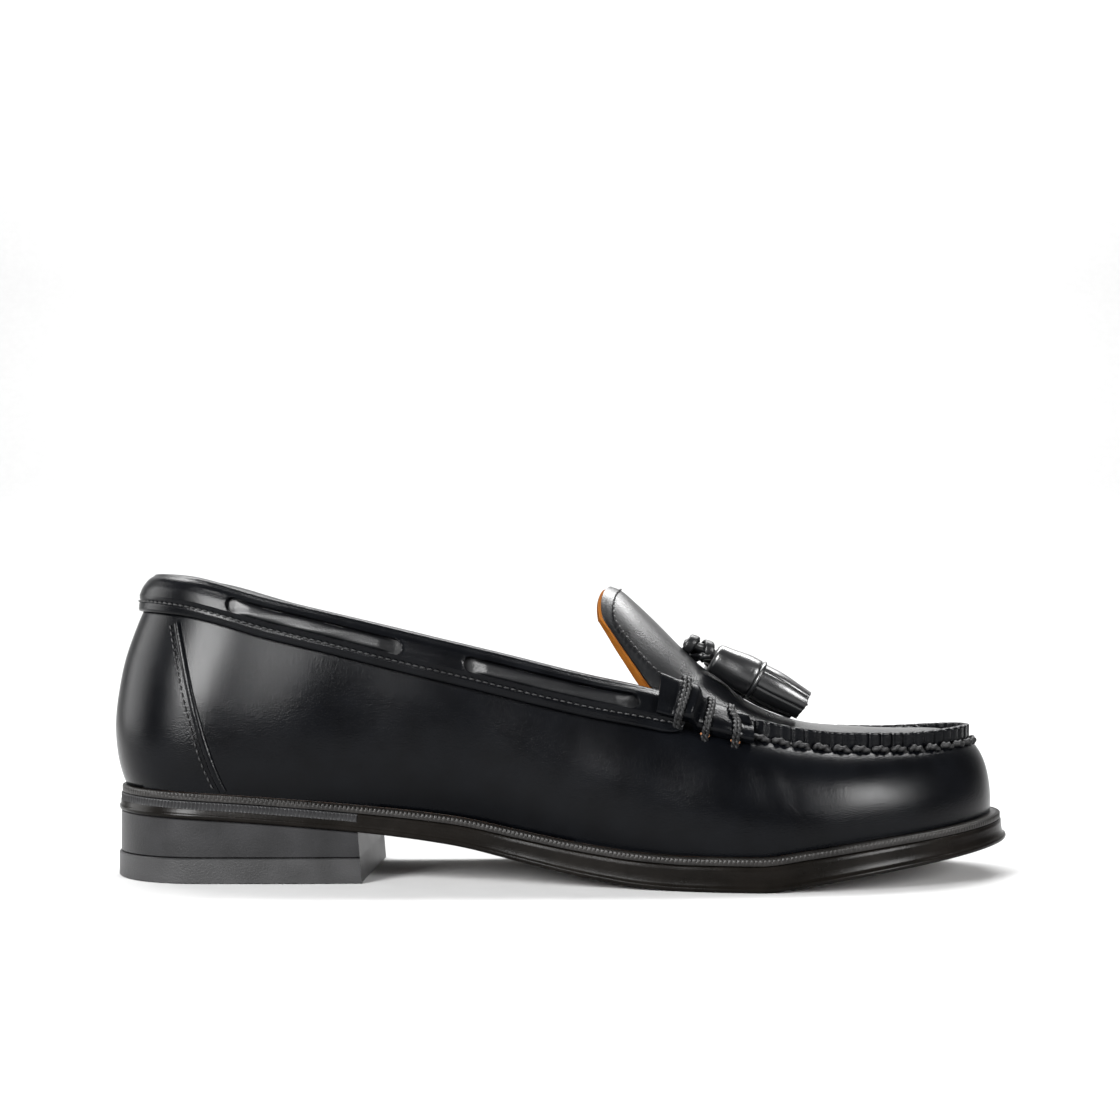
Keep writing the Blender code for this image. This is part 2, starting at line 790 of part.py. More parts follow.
def band_turns(last, count):
    """Turns round the back of the collar, from the outer front end to the inner one."""
    end = turn(last)
    return np.linspace(end, -end, count)


def band_section(a):
    """Hooked section of the collar band, with the tunnel that the thong runs in."""
    c = float(share(a))
    ease = np.clip((BAND_FRONT_SHARE - c) * LENGTH / BAND_POINT, 0, 1)
    rounded = math.sqrt(1 - (1 - ease) ** 2)
    depth = (BAND_DEPTH - BAND_FOLD) * (BAND_POINT_DEPTH + (1 - BAND_POINT_DEPTH) * rounded)
    tunnel = BAND_EASE + LACE_THICKNESS + 1.5 * GAP
    proud = tunnel + BAND_WALL
    top = LACE_DROP - LACE_HEIGHT / 2 - TUNNEL_EASE
    bottom = LACE_DROP + LACE_HEIGHT / 2 + TUNNEL_EASE
    hem = max(depth - BAND_HEM, bottom + 2 * GAP)
    inside = -WALL - BAND_INNER_EASE
    return (
        (depth, BAND_EASE),
        (depth, BAND_EASE + BAND_WALL),
        (hem, BAND_EASE + 0.9 * BAND_WALL),
        (hem - 0.4 * BAND_WALL, 0.85 * proud),
        ((top + bottom) / 2, proud + 0.4 * BAND_WALL),
        (top, proud),
        (-0.4 * BAND_FOLD, 0.62 * proud),
        (-BAND_FOLD, -0.35 * WALL),
        (-0.6 * BAND_FOLD, inside - 0.7 * BAND_WALL),
        (0.12 * BAND_INNER_DEPTH, inside - BAND_WALL),
        (BAND_INNER_DEPTH, inside - BAND_WALL),
        (BAND_INNER_DEPTH, inside),
        (-BAND_EASE, inside),
        (-BAND_EASE, BAND_EASE),
        (top - GAP, BAND_EASE),
        (top, tunnel),
        ((top + bottom) / 2, tunnel),
        (bottom, tunnel),
        (bottom + GAP, BAND_EASE),
    )


def slot_cutter(number, sign, start, end):
    """Long hole with round ends, lofted along the band and through its face."""
    first = turn(start)
    reach = turn(end) - first
    run = np.linalg.norm(surface(turn(end), 1.5) - surface(first, 1.5))
    radius = SLOT_HEIGHT / 2
    near = [radius * (1 - math.cos(t)) for t in np.linspace(0.15, 0.5 * np.pi, 4)]
    middle = list(np.linspace(radius, run - radius, 7))[1:-1]
    sections = []
    for along in near + middle + [run - d for d in near[::-1]]:
        short = radius - min(along, run - along, radius)
        half = math.sqrt(radius**2 - short**2)
        a = sign * (first + reach * along / run)
        low = 2 * GAP + 0.5 * LACE_THICKNESS
        high = 3 * (LACE_THICKNESS + BAND_WALL)
        corners = ((-half, low), (half, low), (half, high), (-half, high))
        sections.append(np.array([place(a, LACE_DROP + down, off) for down, off in corners]))
    cutter = solid(f"slot_cutter_{number}", *loft(sections), BLACK, 0.5)
    cutter.hide_render = True
    cutter.display_type = "WIRE"
    return cutter


def collar_band():
    """Folded band over the collar's edge, with two slots a side."""
    sections = []
    for a in band_turns(BAND_FRONT_SHARE, COLLAR_STEPS):
        sections.append(np.array([place(a, down, off) for down, off in band_section(a)]))
    band = solid("collar_band", *loft(sections), BLACK, 0.28, sharp=60)
    number = 0
    for sign in (1, -1):
        for start, end in SLOTS:
            number += 1
            cut = band.modifiers.new(f"slot_{number}", "BOOLEAN")
            cut.operation = "DIFFERENCE"
            cut.solver = "MANIFOLD"
            cut.object = slot_cutter(number, sign, start, end)
    return band


def in_slot(c):
    """1 inside a slot clear of its round ends, falling to 0 in the tunnel."""
    ramp = SLOT_HEIGHT / LENGTH
    most = 0.0
    for start, end in SLOTS:
        inside = min(c - start - 0.6 * ramp, end - 0.6 * ramp - c) / ramp
        most = max(most, min(max(inside, 0.0), 1.0))
    return most


def collar_lace():
    """Flat thong through the band's tunnel, a little fuller where the slots show it."""
    sections = []
    half = LACE_HEIGHT / 2
    crest = SLOT_HEIGHT / 2 - 2 * GAP
    for a in band_turns(LACE_FRONT_SHARE, LACE_STEPS):
        flat = BAND_EASE + LACE_THICKNESS
        full = flat + LACE_SWELL * in_slot(float(share(a)))
        rungs = (
            (LACE_DROP - half, BAND_EASE),
            (LACE_DROP - half, flat),
            (LACE_DROP - crest, flat),
            (LACE_DROP - 0.6 * crest, full),
            (LACE_DROP + 0.6 * crest, full),
            (LACE_DROP + crest, flat),
            (LACE_DROP + half, flat),
            (LACE_DROP + half, BAND_EASE),
            (LACE_DROP, BAND_EASE),
        )
        sections.append(np.array([place(a, down, off) for down, off in rungs]))
    return solid("collar_lace", *loft(sections), BLACK, 0.35, sharp=60)


def roll_share(s):
    return ROLL_BACK_SHARE + (ROLL_FRONT_SHARE - ROLL_BACK_SHARE) * s


def roll_seat(s):
    """Height of the roll's back face over the upper: over the band behind, on the upper ahead."""
    over_band = BAND_EASE + LACE_THICKNESS + GAP + 1.4 * BAND_WALL
    clear = (BAND_FRONT_SHARE - ROLL_BACK_SHARE) / (ROLL_FRONT_SHARE - ROLL_BACK_SHARE)
    t = np.clip((s - clear - 0.02) / 0.12, 0, 1)
    return ROLL_EASE + over_band * (1 - t * t * (3 - 2 * t))


def binding_reach():
    """Half of a binding's width as a share of the roll's length, with its clearance."""
    run = (ROLL_FRONT_SHARE - ROLL_BACK_SHARE) * (LENGTH - MOC_SETBACK - COLLAR_LEAN)
    return (BINDING_WIDTH / 2 + GAP) / run


def roll_height(s):
    """Thickness of the roll: flat tabs at its ends, pinched flat under each binding."""
    reach = binding_reach()
    for low, high in zip(BINDINGS[:-1], BINDINGS[1:]):
        if low + reach < s < high - reach:
            swell = math.sin(math.pi * (s - low - reach) / (high - low - 2 * reach)) ** 0.7
            return ROLL_PINCH + (ROLL_SWELL - ROLL_PINCH) * swell
    far = max(BINDINGS[0] - reach - s, s - BINDINGS[-1] - reach, 0)
    return ROLL_PINCH + (ROLL_TAB - ROLL_PINCH) * min(1.0, 10 * far)


def roll_outline(s, grow=0.0):
    """Face of the roll at s as distances down and off the upper, grown by a clearance."""
    top = float(smooth(ROLL_EDGES, "top", s)) - grow
    bottom = float(smooth(ROLL_EDGES, "bottom", s)) + grow
    base = float(roll_seat(s))
    high = roll_height(s) + grow
    middle = (top + bottom) / 2
    half = (bottom - top) / 2
    face = []
    for t in np.linspace(0, np.pi, 7):
        down = middle - half * math.copysign(abs(math.cos(t)) ** 0.6, math.cos(t))
        face.append((down, base + high * (0.35 + 0.65 * math.sin(t) ** 0.7)))
    return face, base


def roll_turn(s, sign):
    return sign * turn(roll_share(s))


def beefroll(name, sign):
    """Padded roll over the end of the moc seam, with a flat tab at each end."""
    sections = []
    reach = binding_reach()
    marks = [0.0, 1.0]
    for s in BINDINGS:
        marks += [s - reach, s + reach]
    for low, high in zip(BINDINGS[:-1], BINDINGS[1:]):
        marks += list(np.linspace(low + reach, high - reach, 6))[1:-1]
    for s in sorted(marks):
        face, base = roll_outline(s)
        first = face[0][0]
        last = face[-1][0]
        back = [(last + (first - last) * t, base) for t in (0.0, 0.25, 0.5, 0.75, 1.0)]
        a = roll_turn(s, sign)
        sections.append(np.array([place(a, down, off) for down, off in face + back]))
    return solid(name, *loft(sections), BLACK, 0.25, sharp=55)


def binding(name, sign, s):
    """Flat double cord laid over the roll from its top edge to its bottom edge."""
    half = binding_reach() * BINDING_WIDTH / (BINDING_WIDTH + 2 * GAP)
    rings = []
    for at in (s - half, s + half):
        a = roll_turn(at, sign)
        for grow in (GAP, GAP + BINDING_THICKNESS):
            face, base = roll_outline(at, grow)
            foot = base + 0.2 * ROLL_PINCH
            path = [(face[0][0], foot)] + face + [(face[-1][0], foot)]
            rings.append([place(a, down, off) for down, off in path])
    low_in, low_out, high_in, high_out = rings
    sections = [np.array(corners) for corners in zip(low_in, low_out, high_out, high_in)]
    return solid(name, *loft(sections), THREAD, 0.8)


def along_axis(start, axis, profile, count=ROUND_STEPS, shape=None):
    """Sections of a turned form along an axis, from (distance, radius) pairs."""
    axis = unit(np.array(axis, dtype=float))
    across_axis = unit(np.cross(axis, np.array([0.0, 0.0, 1.0])))
    over = np.cross(across_axis, axis)
    angles = np.arange(count) * 2 * np.pi / count
    sections = []
    for distance, radius in profile:
        reach = radius if shape is None else shape(radius, np.arange(count))
        ring = np.outer(np.cos(angles) * reach, across_axis) + np.outer(np.sin(angles) * reach, over)
        sections.append(np.array(start) + axis * distance + ring)
    return sections


def tassel_cap(name, start, axis):
    """Rolled leather cap with a small ring at its lower edge."""
    top = CAP_TOP_DIAMETER / 2
    low = CAP_DIAMETER / 2
    ring = CAP_LENGTH - CAP_RING_HEIGHT
    profile = (
        (0.0, 0.80 * top),
        (0.06 * CAP_LENGTH, top),
        (0.35 * CAP_LENGTH, 0.5 * (top + low)),
        (0.75 * CAP_LENGTH, low),
        (ring, low),
        (ring + 0.25 * CAP_RING_HEIGHT, low + CAP_RING_PROUD),
        (CAP_LENGTH - 0.25 * CAP_RING_HEIGHT, low + CAP_RING_PROUD),
        (CAP_LENGTH, low - CAP_RING_PROUD),
    )
    return solid(name, *loft(along_axis(start, axis, profile)), BLACK, 0.3, sharp=50)


def tassel_skirt(name, start, axis):
    """Leather strips hanging from the cap, fused round a rolled core that shows at the end."""
    def strips(radius, index):
        return np.where(index % 4 < 2, radius, radius - SLIT_DEPTH)

    begin = np.array(start) + unit(np.array(axis)) * (CAP_LENGTH + GAP)
    top = SKIRT_DIAMETER / 2
    end = SKIRT_END_DIAMETER / 2
    profile = (
        (0.0, top),
        (0.30 * SKIRT_LENGTH, 1.02 * top),
        (0.65 * SKIRT_LENGTH, 0.5 * (top + end) + 0.2 * SLIT_DEPTH),
        (SKIRT_LENGTH, end),
    )
    sections = along_axis(begin, axis, profile, 4 * SKIRT_STRIPS, strips)
    core = 0.62 * end
    sunk = SKIRT_LENGTH - CORE_DEPTH
    hollow = ((sunk, core), (sunk, 0.9 * core))
    raised = ((SKIRT_LENGTH + 0.7 * CORE_RISE, 0.9 * core), (SKIRT_LENGTH + CORE_RISE, 0.4 * core))
    sections += along_axis(begin, axis, hollow + raised, 4 * SKIRT_STRIPS)
    return solid(name, *loft(sections), BLACK, 0.4, sharp=30)


def lace_knot():
    """Outer shape of the thongs' knot, two lobes side by side."""
    profile = [(along * KNOT_RADIUS, wide * KNOT_RADIUS) for along, wide in KNOT_FORM]

    def lobes(radius, index):
        return radius * (1 + 0.07 * np.cos(3 * 2 * np.pi * index / ROUND_STEPS))

    sections = along_axis(KNOT_PLACE, KNOT_AXIS, profile, ROUND_STEPS, lobes)
    return solid("lace_knot", *loft(sections), BLACK, 0.5, sharp=60)


def thong(name, start, axis, sign):
    """Free end of the thong from the knot's side into the top of its tassel's cap."""
    axis = unit(np.array(axis))
    end = np.array(start) - axis * 2 * GAP
    reach = 1.07 * KNOT_RADIUS + GAP
    begin = np.array(KNOT_PLACE) + unit(np.array(KNOT_AXIS)) * 0.45 * KNOT_RADIUS
    begin = begin + np.array([0.0, sign * reach, 0.0])
    pull = 0.45 * np.linalg.norm(end - begin)
    second = begin + np.array([0.0, sign * pull, 0.0])
    third = end - axis * pull
    line = bpy.data.curves.new(name, "CURVE")
    line.dimensions = "3D"
    line.bevel_depth = THONG_DIAMETER / 2
    line.bevel_resolution = 2
    line.use_fill_caps = True
    spline = line.splines.new("POLY")
    steps = np.linspace(0, 1, 6)
    spline.points.add(len(steps) - 1)
    for point, t in zip(spline.points, steps):
        at = (1 - t) ** 3 * begin + 3 * t * (1 - t) ** 2 * second
        at = at + 3 * t**2 * (1 - t) * third + t**3 * end
        point.co = (*(at - MIDDLE), 1)
    line.materials.append(material(name, BLACK, 0.5))
    made = bpy.data.objects.new(name, line)
    bpy.context.scene.collection.objects.link(made)
    return made


def clear_scene():
    for item in list(bpy.data.objects):
        bpy.data.objects.remove(item, do_unlink=True)


def main():
    clear_scene()
    outsole()
    welt()
    heel_rand()
    heel_block()
    top_lift()
    insole()
    upper()
    apron_tongue()
    collar_band()
    collar_lace()
    for side_name, sign in (("outer", 1), ("inner", -1)):
        beefroll(f"beefroll_{side_name}", sign)
        for number, s in enumerate(BINDINGS, 1):
            binding(f"binding_{side_name}_{number}", sign, s)
    for side_name, (start, axis) in TASSELS.items():
        tassel_cap(f"tassel_cap_{side_name}", start, axis)
        tassel_skirt(f"tassel_skirt_{side_name}", start, axis)
        thong(f"thong_{side_name}", start, axis, 1 if side_name == "inner" else -1)
    lace_knot()


main()
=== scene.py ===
"""Tassel loafer, dressed for the render: a right shoe seen from its outer side.

The shoe's own sizes and curves come first. Each piece is then built on them in fine mesh and
stands for its plain solid in the frame. Metres, +Z up, toe towards +X, outer side towards -Y.
"""

import functools
import math
import bmesh
import bpy
import numpy as np
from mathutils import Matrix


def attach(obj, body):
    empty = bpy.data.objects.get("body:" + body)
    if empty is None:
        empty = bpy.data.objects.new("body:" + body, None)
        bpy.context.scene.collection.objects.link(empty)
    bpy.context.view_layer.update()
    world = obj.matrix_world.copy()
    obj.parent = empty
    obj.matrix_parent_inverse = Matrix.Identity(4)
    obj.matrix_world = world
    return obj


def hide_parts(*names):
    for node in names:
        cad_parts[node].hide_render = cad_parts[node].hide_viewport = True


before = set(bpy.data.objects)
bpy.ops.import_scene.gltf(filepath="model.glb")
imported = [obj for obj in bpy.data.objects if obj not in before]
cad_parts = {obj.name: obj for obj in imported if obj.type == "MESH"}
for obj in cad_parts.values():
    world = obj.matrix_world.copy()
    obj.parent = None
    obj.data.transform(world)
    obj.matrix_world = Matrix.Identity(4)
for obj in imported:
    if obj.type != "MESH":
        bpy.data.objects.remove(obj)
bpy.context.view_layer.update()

# Main sizes of the shoe
LENGTH = 0.3005
BALL_WIDTH = 0.1050
WAIST_WIDTH = 0.0640
HEEL_WIDTH = 0.0668
HEEL_HEIGHT = 0.0222
TOE_SPRING = 0.0124
BACK_HEIGHT = 0.1014
MOC_HEIGHT = 0.0490
TONGUE_HEIGHT = 0.0970

# Layers of the bottom
OUTSOLE_THICKNESS = 0.0078
WELT_THICKNESS = 0.0022
WELT_PROJECTION = 0.0050
WELT_SETBACK = 0.0016
WELT_SEAT = 0.0030
INSOLE_THICKNESS = 0.0032
EDGE_LIP_HEIGHT = 0.0013
LIFT_HEIGHT = 0.0081
LIFT_PROUD = 0.0006
BREAST_SHARE = 0.279
BREAST_RAKE = 0.0018
BREAST_HOLLOW = 0.0016
RAND_HEIGHT = 0.0031
RAND_WIDTH = 0.0080

# Upper
WALL = 0.0020
FOOT_BACK = 0.0021
FOOT_FRONT = 0.0053
COLLAR_LEAN = 0.0105
MOC_SETBACK = 0.0121
LIP_RISE = 0.0050
RIDGE_WIDTH = 0.0028
RIDGE_HEIGHT = 0.0009
COUNTER_SHARE = 0.135
COUNTER_SWEEP = 0.095
LIP_FROM_SHARE = 0.665
LIP_TO_SHARE = 0.745

# Apron and tongue
APRON_DROP = 0.0026
APRON_BACK_SHARE = 0.722

# Collar band and its thong
BAND_DEPTH = 0.0142
BAND_FOLD = 0.0019
BAND_WALL = 0.0011
BAND_INNER_DEPTH = 0.0085
BAND_HEM = 0.0029
BAND_FRONT_SHARE = 0.640
BAND_POINT = 0.0100
LACE_HEIGHT = 0.0052
LACE_THICKNESS = 0.0013
LACE_SWELL = 0.0009
LACE_FRONT_SHARE = 0.625
LACE_DROP = 0.0050
TUNNEL_EASE = 0.0008
BAND_EASE = 0.0006
BAND_INNER_EASE = 0.0009
SLOT_HEIGHT = 0.0048

# Beef rolls and their bindings
ROLL_BACK_SHARE = 0.607
ROLL_FRONT_SHARE = 0.716
ROLL_EASE = 0.0007
BINDING_WIDTH = 0.0029

# Knot, thongs and tassels
THONG_DIAMETER = 0.0034
KNOT_RADIUS = 0.0038
CAP_LENGTH = 0.0170
CAP_TOP_DIAMETER = 0.0098
CAP_DIAMETER = 0.0122
CAP_RING_HEIGHT = 0.0016
SKIRT_LENGTH = 0.0170
SKIRT_DIAMETER = 0.0112
SKIRT_END_DIAMETER = 0.0088

# Fits
GAP = 0.0003

# Resolution
SIDE_STEPS = 110
CLOSE_FROM = 0.56
CLOSE_TO = 0.76
BREAST_STEP = 0.0005


def slopes(xs, ys):
    """Slopes that keep a cubic through the points monotone, so flat stretches stay flat."""
    step = np.diff(xs)
    slope = np.diff(ys) / step
    found = np.zeros(len(xs))
    found[0] = slope[0]
    found[-1] = slope[-1]
    for i in range(1, len(xs) - 1):
        if slope[i - 1] * slope[i] > 0:
            first = 2 * step[i] + step[i - 1]
            second = step[i] + 2 * step[i - 1]
            found[i] = (first + second) / (first / slope[i - 1] + second / slope[i])
    return found


def table(names, *rows):
    """Named columns of a short table: for each its values and slopes over the first column."""
    columns = np.array(rows, dtype=float).T
    return {name: (values, slopes(columns[0], values)) for name, values in zip(names.split(), columns)}


# Plan of the sole: along is the share of the length, heel and ball are how much of the width
# there is heel width or ball width (the rest is waist width), projection is a share of the
# welt's projection, centre a share of the ball width, setback a share of the welt's setback
SOLE_PLAN = table(
    "along heel  ball  projection centre setback",
    (0.00, 1.00, 0.00, 0.32,  0.000, 0.35),
    (0.20, 1.00, 0.00, 0.36,  0.000, 0.35),
    (0.30, 0.00, 0.02, 0.60, -0.002, 0.40),
    (0.40, 0.00, 0.04, 0.66, -0.006, 0.45),
    (0.50, 0.00, 0.34, 0.84, -0.010, 0.60),
    (0.60, 0.00, 0.71, 1.00, -0.011, 0.75),
    (0.70, 0.00, 0.97, 1.00, -0.009, 0.85),
    (0.80, 0.00, 1.00, 1.00, -0.006, 0.90),
    (0.90, 0.00, 1.00, 0.92,  0.004, 0.95),
    (1.00, 0.00, 1.00, 0.80,  0.022, 1.00),
)
HEEL_ROUND = 0.115
TOE_ROUND = 0.300
TOP_HEEL_ROUND = 0.130
TOP_TOE_ROUND = 0.225
ROUND_POWER = 2.05

# Side line of the sole: heel and toe are shares of the heel height and the toe spring under
# the outsole, thick is the share of the outsole's thickness
SOLE_LINE = table(
    "along heel  toe   thick",
    (0.000, 1.00, 0.00, 0.73),
    (0.140, 0.90, 0.00, 0.73),
    (0.280, 0.74, 0.00, 0.74),
    (0.380, 0.56, 0.00, 0.82),
    (0.452, 0.34, 0.00, 0.90),
    (0.524, 0.14, 0.00, 0.97),
    (0.585, 0.03, 0.00, 1.00),
    (0.630, 0.00, 0.00, 1.00),
    (0.700, 0.00, 0.00, 1.00),
    (0.752, 0.00, 0.16, 1.00),
    (0.832, 0.00, 0.45, 0.96),
    (0.908, 0.00, 0.70, 0.90),
    (1.000, 0.00, 1.00, 0.85),
)

# Sections of the upper, from the feather edge up to the foot of the lip: top is the half width
# at the top as a share of the sole's, out is a share of the half width and up of the height
UPPER_ROWS = table(
    "along top   low_out low_up high_out high_down",
    (0.00, 0.72, 0.245, 0.30, 0.270, 0.26),
    (0.10, 0.76, 0.150, 0.30, 0.150, 0.27),
    (0.20, 0.84, 0.150, 0.30, 0.135, 0.28),
    (0.30, 0.94, 0.190, 0.32, 0.090, 0.28),
    (0.40, 0.97, 0.215, 0.34, 0.095, 0.27),
    (0.50, 0.85, 0.150, 0.36, 0.105, 0.28),
    (0.60, 0.74, 0.095, 0.38, 0.130, 0.27),
    (0.70, 0.66, 0.052, 0.42, 0.195, 0.15),
    (0.80, 0.63, 0.048, 0.44, 0.165, 0.10),
    (0.90, 0.63, 0.035, 0.44, 0.125, 0.10),
    (1.00, 0.63, 0.020, 0.44, 0.088, 0.11),
)

# Top line from the heel round to the moc toe, as the share of the rise from moc to back height
TOP_LINE = table(
    "along rise",
    (0.000, 1.000),
    (0.059, 0.965),
    (0.159, 0.824),
    (0.238, 0.725),
    (0.341, 0.592),
    (0.402, 0.515),
    (0.532, 0.345),
    (0.606, 0.262),
    (0.666, 0.165),
    (0.720, 0.075),
    (0.774, 0.012),
    (0.827, -0.015),
    (0.900, -0.020),
    (1.000, 0.015),
)

# How far the upper's own top stays below the top line: a share of the band's fold
TUCK = table(
    "along fold",
    (0.00, 1.0),
    (0.60, 1.0),
    (0.66, 1.2),
    (0.74, 0.0),
    (1.00, 0.0),
)

# Crown of the apron over its edge, as a share of the tongue's height above the moc
APRON_CROWN = table(
    "along crown",
    (0.720, 0.190),
    (0.774, 0.110),
    (0.827, 0.085),
    (0.900, 0.070),
    (0.960, 0.045),
    (1.000, 0.000),
)

# Rows of the tongue from the apron back to its tip: x is a share of the length, wide of the
# half width of the upper's top there, high of the tongue's height, sweep of the length
TONGUE_ROWS = table(
    "edge_x edge_wide edge_high mid_x  mid_high sweep power",
    (0.684, 0.850, 0.510, 0.6810, 0.662, 0.000, 2.0),
    (0.656, 0.815, 0.540, 0.6560, 0.718, 0.000, 2.0),
    (0.628, 0.790, 0.575, 0.6310, 0.790, 0.000, 2.0),
    (0.605, 0.780, 0.620, 0.6060, 0.868, 0.002, 1.9),
    (0.585, 0.770, 0.672, 0.5830, 0.936, 0.006, 1.8),
    (0.570, 0.760, 0.705, 0.5670, 0.980, 0.011, 1.7),
    (0.563, 0.750, 0.720, 0.5540, 1.000, 0.014, 1.7),
)

# Slots of the collar band, as shares along the top line
SLOTS = (
    (0.112, 0.317),
    (0.389, 0.587),
)

# Half section of a roll's top and bottom edge, from the upper's top edge down
ROLL_EDGES = table(
    "along top     bottom",
    (0.0, -0.0058, 0.0082),
    (0.5, -0.0036, 0.0088),
    (1.0, -0.0012, 0.0104),
)
BINDINGS = (0.22, 0.52, 0.82)

# Tassels: where the cap starts, the direction it hangs and its side
TASSELS = {
    "outer": ((0.2003, -0.0105, 0.0727), (0.86, -0.06, -0.46)),
    "inner": ((0.2010, 0.0105, 0.0715), (0.86, 0.08, -0.45)),
}

# The knot lies along the tongue: distance from its middle and radius, as shares of its size
KNOT_AXIS = (0.90, 0.0, -0.34)
KNOT_FORM = (
    (-1.45, 0.42),
    (-1.20, 0.80),
    (-0.70, 0.94),
    (-0.10, 0.78),
    (0.45, 1.00),
    (1.00, 0.90),
    (1.35, 0.50),
)


def smooth(rows, name, x):
    """Monotone cubic through one column of a table."""
    xs = rows["along"][0]
    ys, slope = rows[name]
    x = np.clip(np.asarray(x, dtype=float), xs[0], xs[-1])
    i = np.clip(np.searchsorted(xs, x, side="right") - 1, 0, len(xs) - 2)
    step = xs[i + 1] - xs[i]
    t = (x - xs[i]) / step
    return (
        (2 * t**3 - 3 * t**2 + 1) * ys[i]
        + (t**3 - 2 * t**2 + t) * step * slope[i]
        + (3 * t**2 - 2 * t**3) * ys[i + 1]
        + (t**3 - t**2) * step * slope[i + 1]
    )


def ease(t):
    """Smooth step from 0 to 1."""
    t = np.clip(t, 0, 1)
    return t * t * (3 - 2 * t)


def unit(v):
    return v / np.linalg.norm(v, axis=-1, keepdims=True)


def share(a):
    """Share of the length at a turn a: 0 at the heel, 1 at the toe, 2 back at the heel."""
    return (1 - np.cos(np.pi * np.asarray(a, dtype=float))) / 2


def turn(c):
    """Turn on the outer side at a share c of the length."""
    return np.arccos(1 - 2 * np.asarray(c, dtype=float)) / np.pi


def side(a):
    """-1 on the outer side, +1 on the inner side."""
    return -np.sign(np.sin(np.pi * np.asarray(a, dtype=float)) + 1e-15)


def rounding(c, heel, toe):
    """Half width of a plan with round ends, as a share."""
    back = np.clip(1 - c / heel, 0, 1)
    front = np.clip((c - 1 + toe) / toe, 0, 1)
    power = ROUND_POWER
    return (1 - back**power) ** (1 / power) * (1 - front**power) ** (1 / power)


def sole_half(c):
    heel = smooth(SOLE_PLAN, "heel", c)
    ball = smooth(SOLE_PLAN, "ball", c)
    waist = 1 - heel - ball
    return (heel * HEEL_WIDTH + ball * BALL_WIDTH + waist * WAIST_WIDTH) / 2


def centre(x):
    return smooth(SOLE_PLAN, "centre", x / LENGTH) * BALL_WIDTH


def outline(a, back, front, half, heel=HEEL_ROUND, toe=TOE_ROUND):
    """Plan point at turn a of a line between back and front with the given half width."""
    c = share(a)
    x = back + (front - back) * c
    y = centre(x) + side(a) * half * rounding(c, heel, toe)
    return np.stack([x, y], axis=-1)


def sole_plan(a, inset=0.0):
    """Outline of the sole, drawn in by an inset."""
    return outline(a, inset, LENGTH - inset, sole_half(share(a)) - inset)


def foot_plan(a, inset=0.0):
    """Feather line of the upper, drawn in by an inset."""
    c = share(a)
    half = sole_half(c) - smooth(SOLE_PLAN, "projection", c) * WELT_PROJECTION - inset
    return outline(a, FOOT_BACK + inset, LENGTH - FOOT_FRONT - inset, half)


def top_half(c):
    return smooth(UPPER_ROWS, "top", c) * sole_half(c)


def top_plan(a):
    """Top edge of the upper seen from above: the collar behind, the moc seam in front."""
    back = COLLAR_LEAN
    front = LENGTH - MOC_SETBACK
    return outline(a, back, front, top_half(share(a)), TOP_HEEL_ROUND, TOP_TOE_ROUND)


def sole_bottom(x):
    c = x / LENGTH
    return smooth(SOLE_LINE, "heel", c) * HEEL_HEIGHT + smooth(SOLE_LINE, "toe", c) * TOE_SPRING


def outsole_top(x):
    return sole_bottom(x) + smooth(SOLE_LINE, "thick", x / LENGTH) * OUTSOLE_THICKNESS


def welt_top(x):
    return outsole_top(x) + GAP + WELT_THICKNESS


def top_line(c):
    return MOC_HEIGHT + smooth(TOP_LINE, "rise", c) * (BACK_HEIGHT - MOC_HEIGHT)


def with_z(plan, z):
    return np.concatenate([plan, np.asarray(z)[..., None]], axis=-1)


def upright(c):
    """1 where the lip stands up from the vamp, 0 where the wall runs on under the band."""
    return ease((c - LIP_FROM_SHARE) / (LIP_TO_SHARE - LIP_FROM_SHARE))


def controls(a):
    """The four control points of the upper's section at turn a, and the lip over them."""
    a = np.asarray(a, dtype=float)
    c = share(a)
    step = 1e-4
    along = foot_plan(a + step) - foot_plan(a - step)
    out = unit(np.stack([along[..., 1], -along[..., 0]], axis=-1))
    out = np.concatenate([out, np.zeros(a.shape + (1,))], axis=-1)
    up = np.zeros(a.shape + (3,))
    up[..., 2] = 1
    foot = foot_plan(a)
    low = with_z(foot, welt_top(foot[..., 0]) + GAP)
    top = top_line(c) - smooth(TUCK, "fold", c) * BAND_FOLD - LIP_RISE
    high = with_z(top_plan(a), top)
    height = (high - low)[..., 2:]
    half = sole_half(c)[..., None]
    names = ("low_out", "low_up", "high_out", "high_down")
    rows = {name: smooth(UPPER_ROWS, name, c)[..., None] for name in names}
    second = low + out * rows["low_out"] * half + up * rows["low_up"] * height
    third = high + out * rows["high_out"] * half - up * rows["high_down"] * height
    blend = upright(c)[..., None]
    lip = unit(unit(high - third) * (1 - blend) + up * blend) * LIP_RISE
    return low, second, third, high, lip


def surface(a, v):
    """Outer face of the upper: v runs 0 to 1 from feather to the foot of the lip, 2 is its top."""
    a, v = np.broadcast_arrays(np.asarray(a, dtype=float), np.asarray(v, dtype=float))
    low, second, third, high, lip = controls(a)
    t = np.clip(v, 0, 1)[..., None]
    rise = np.maximum(v - 1, 0)[..., None]
    curve = (1 - t) ** 3 * low + 3 * t * (1 - t) ** 2 * second
    curve = curve + 3 * t**2 * (1 - t) * third + t**3 * high
    return curve + rise * lip


def normal(a, v):
    """Outward normal of the upper's outer face."""
    step = 1e-3
    a, v = np.broadcast_arrays(np.asarray(a, dtype=float), np.asarray(v, dtype=float))
    low = np.where(v > 1, np.maximum(v - step, 1), np.maximum(v - step, 0))
    along = surface(a + step, v) - surface(a - step, v)
    up = surface(a, low + 2 * step) - surface(a, low)
    return unit(np.cross(along, up))


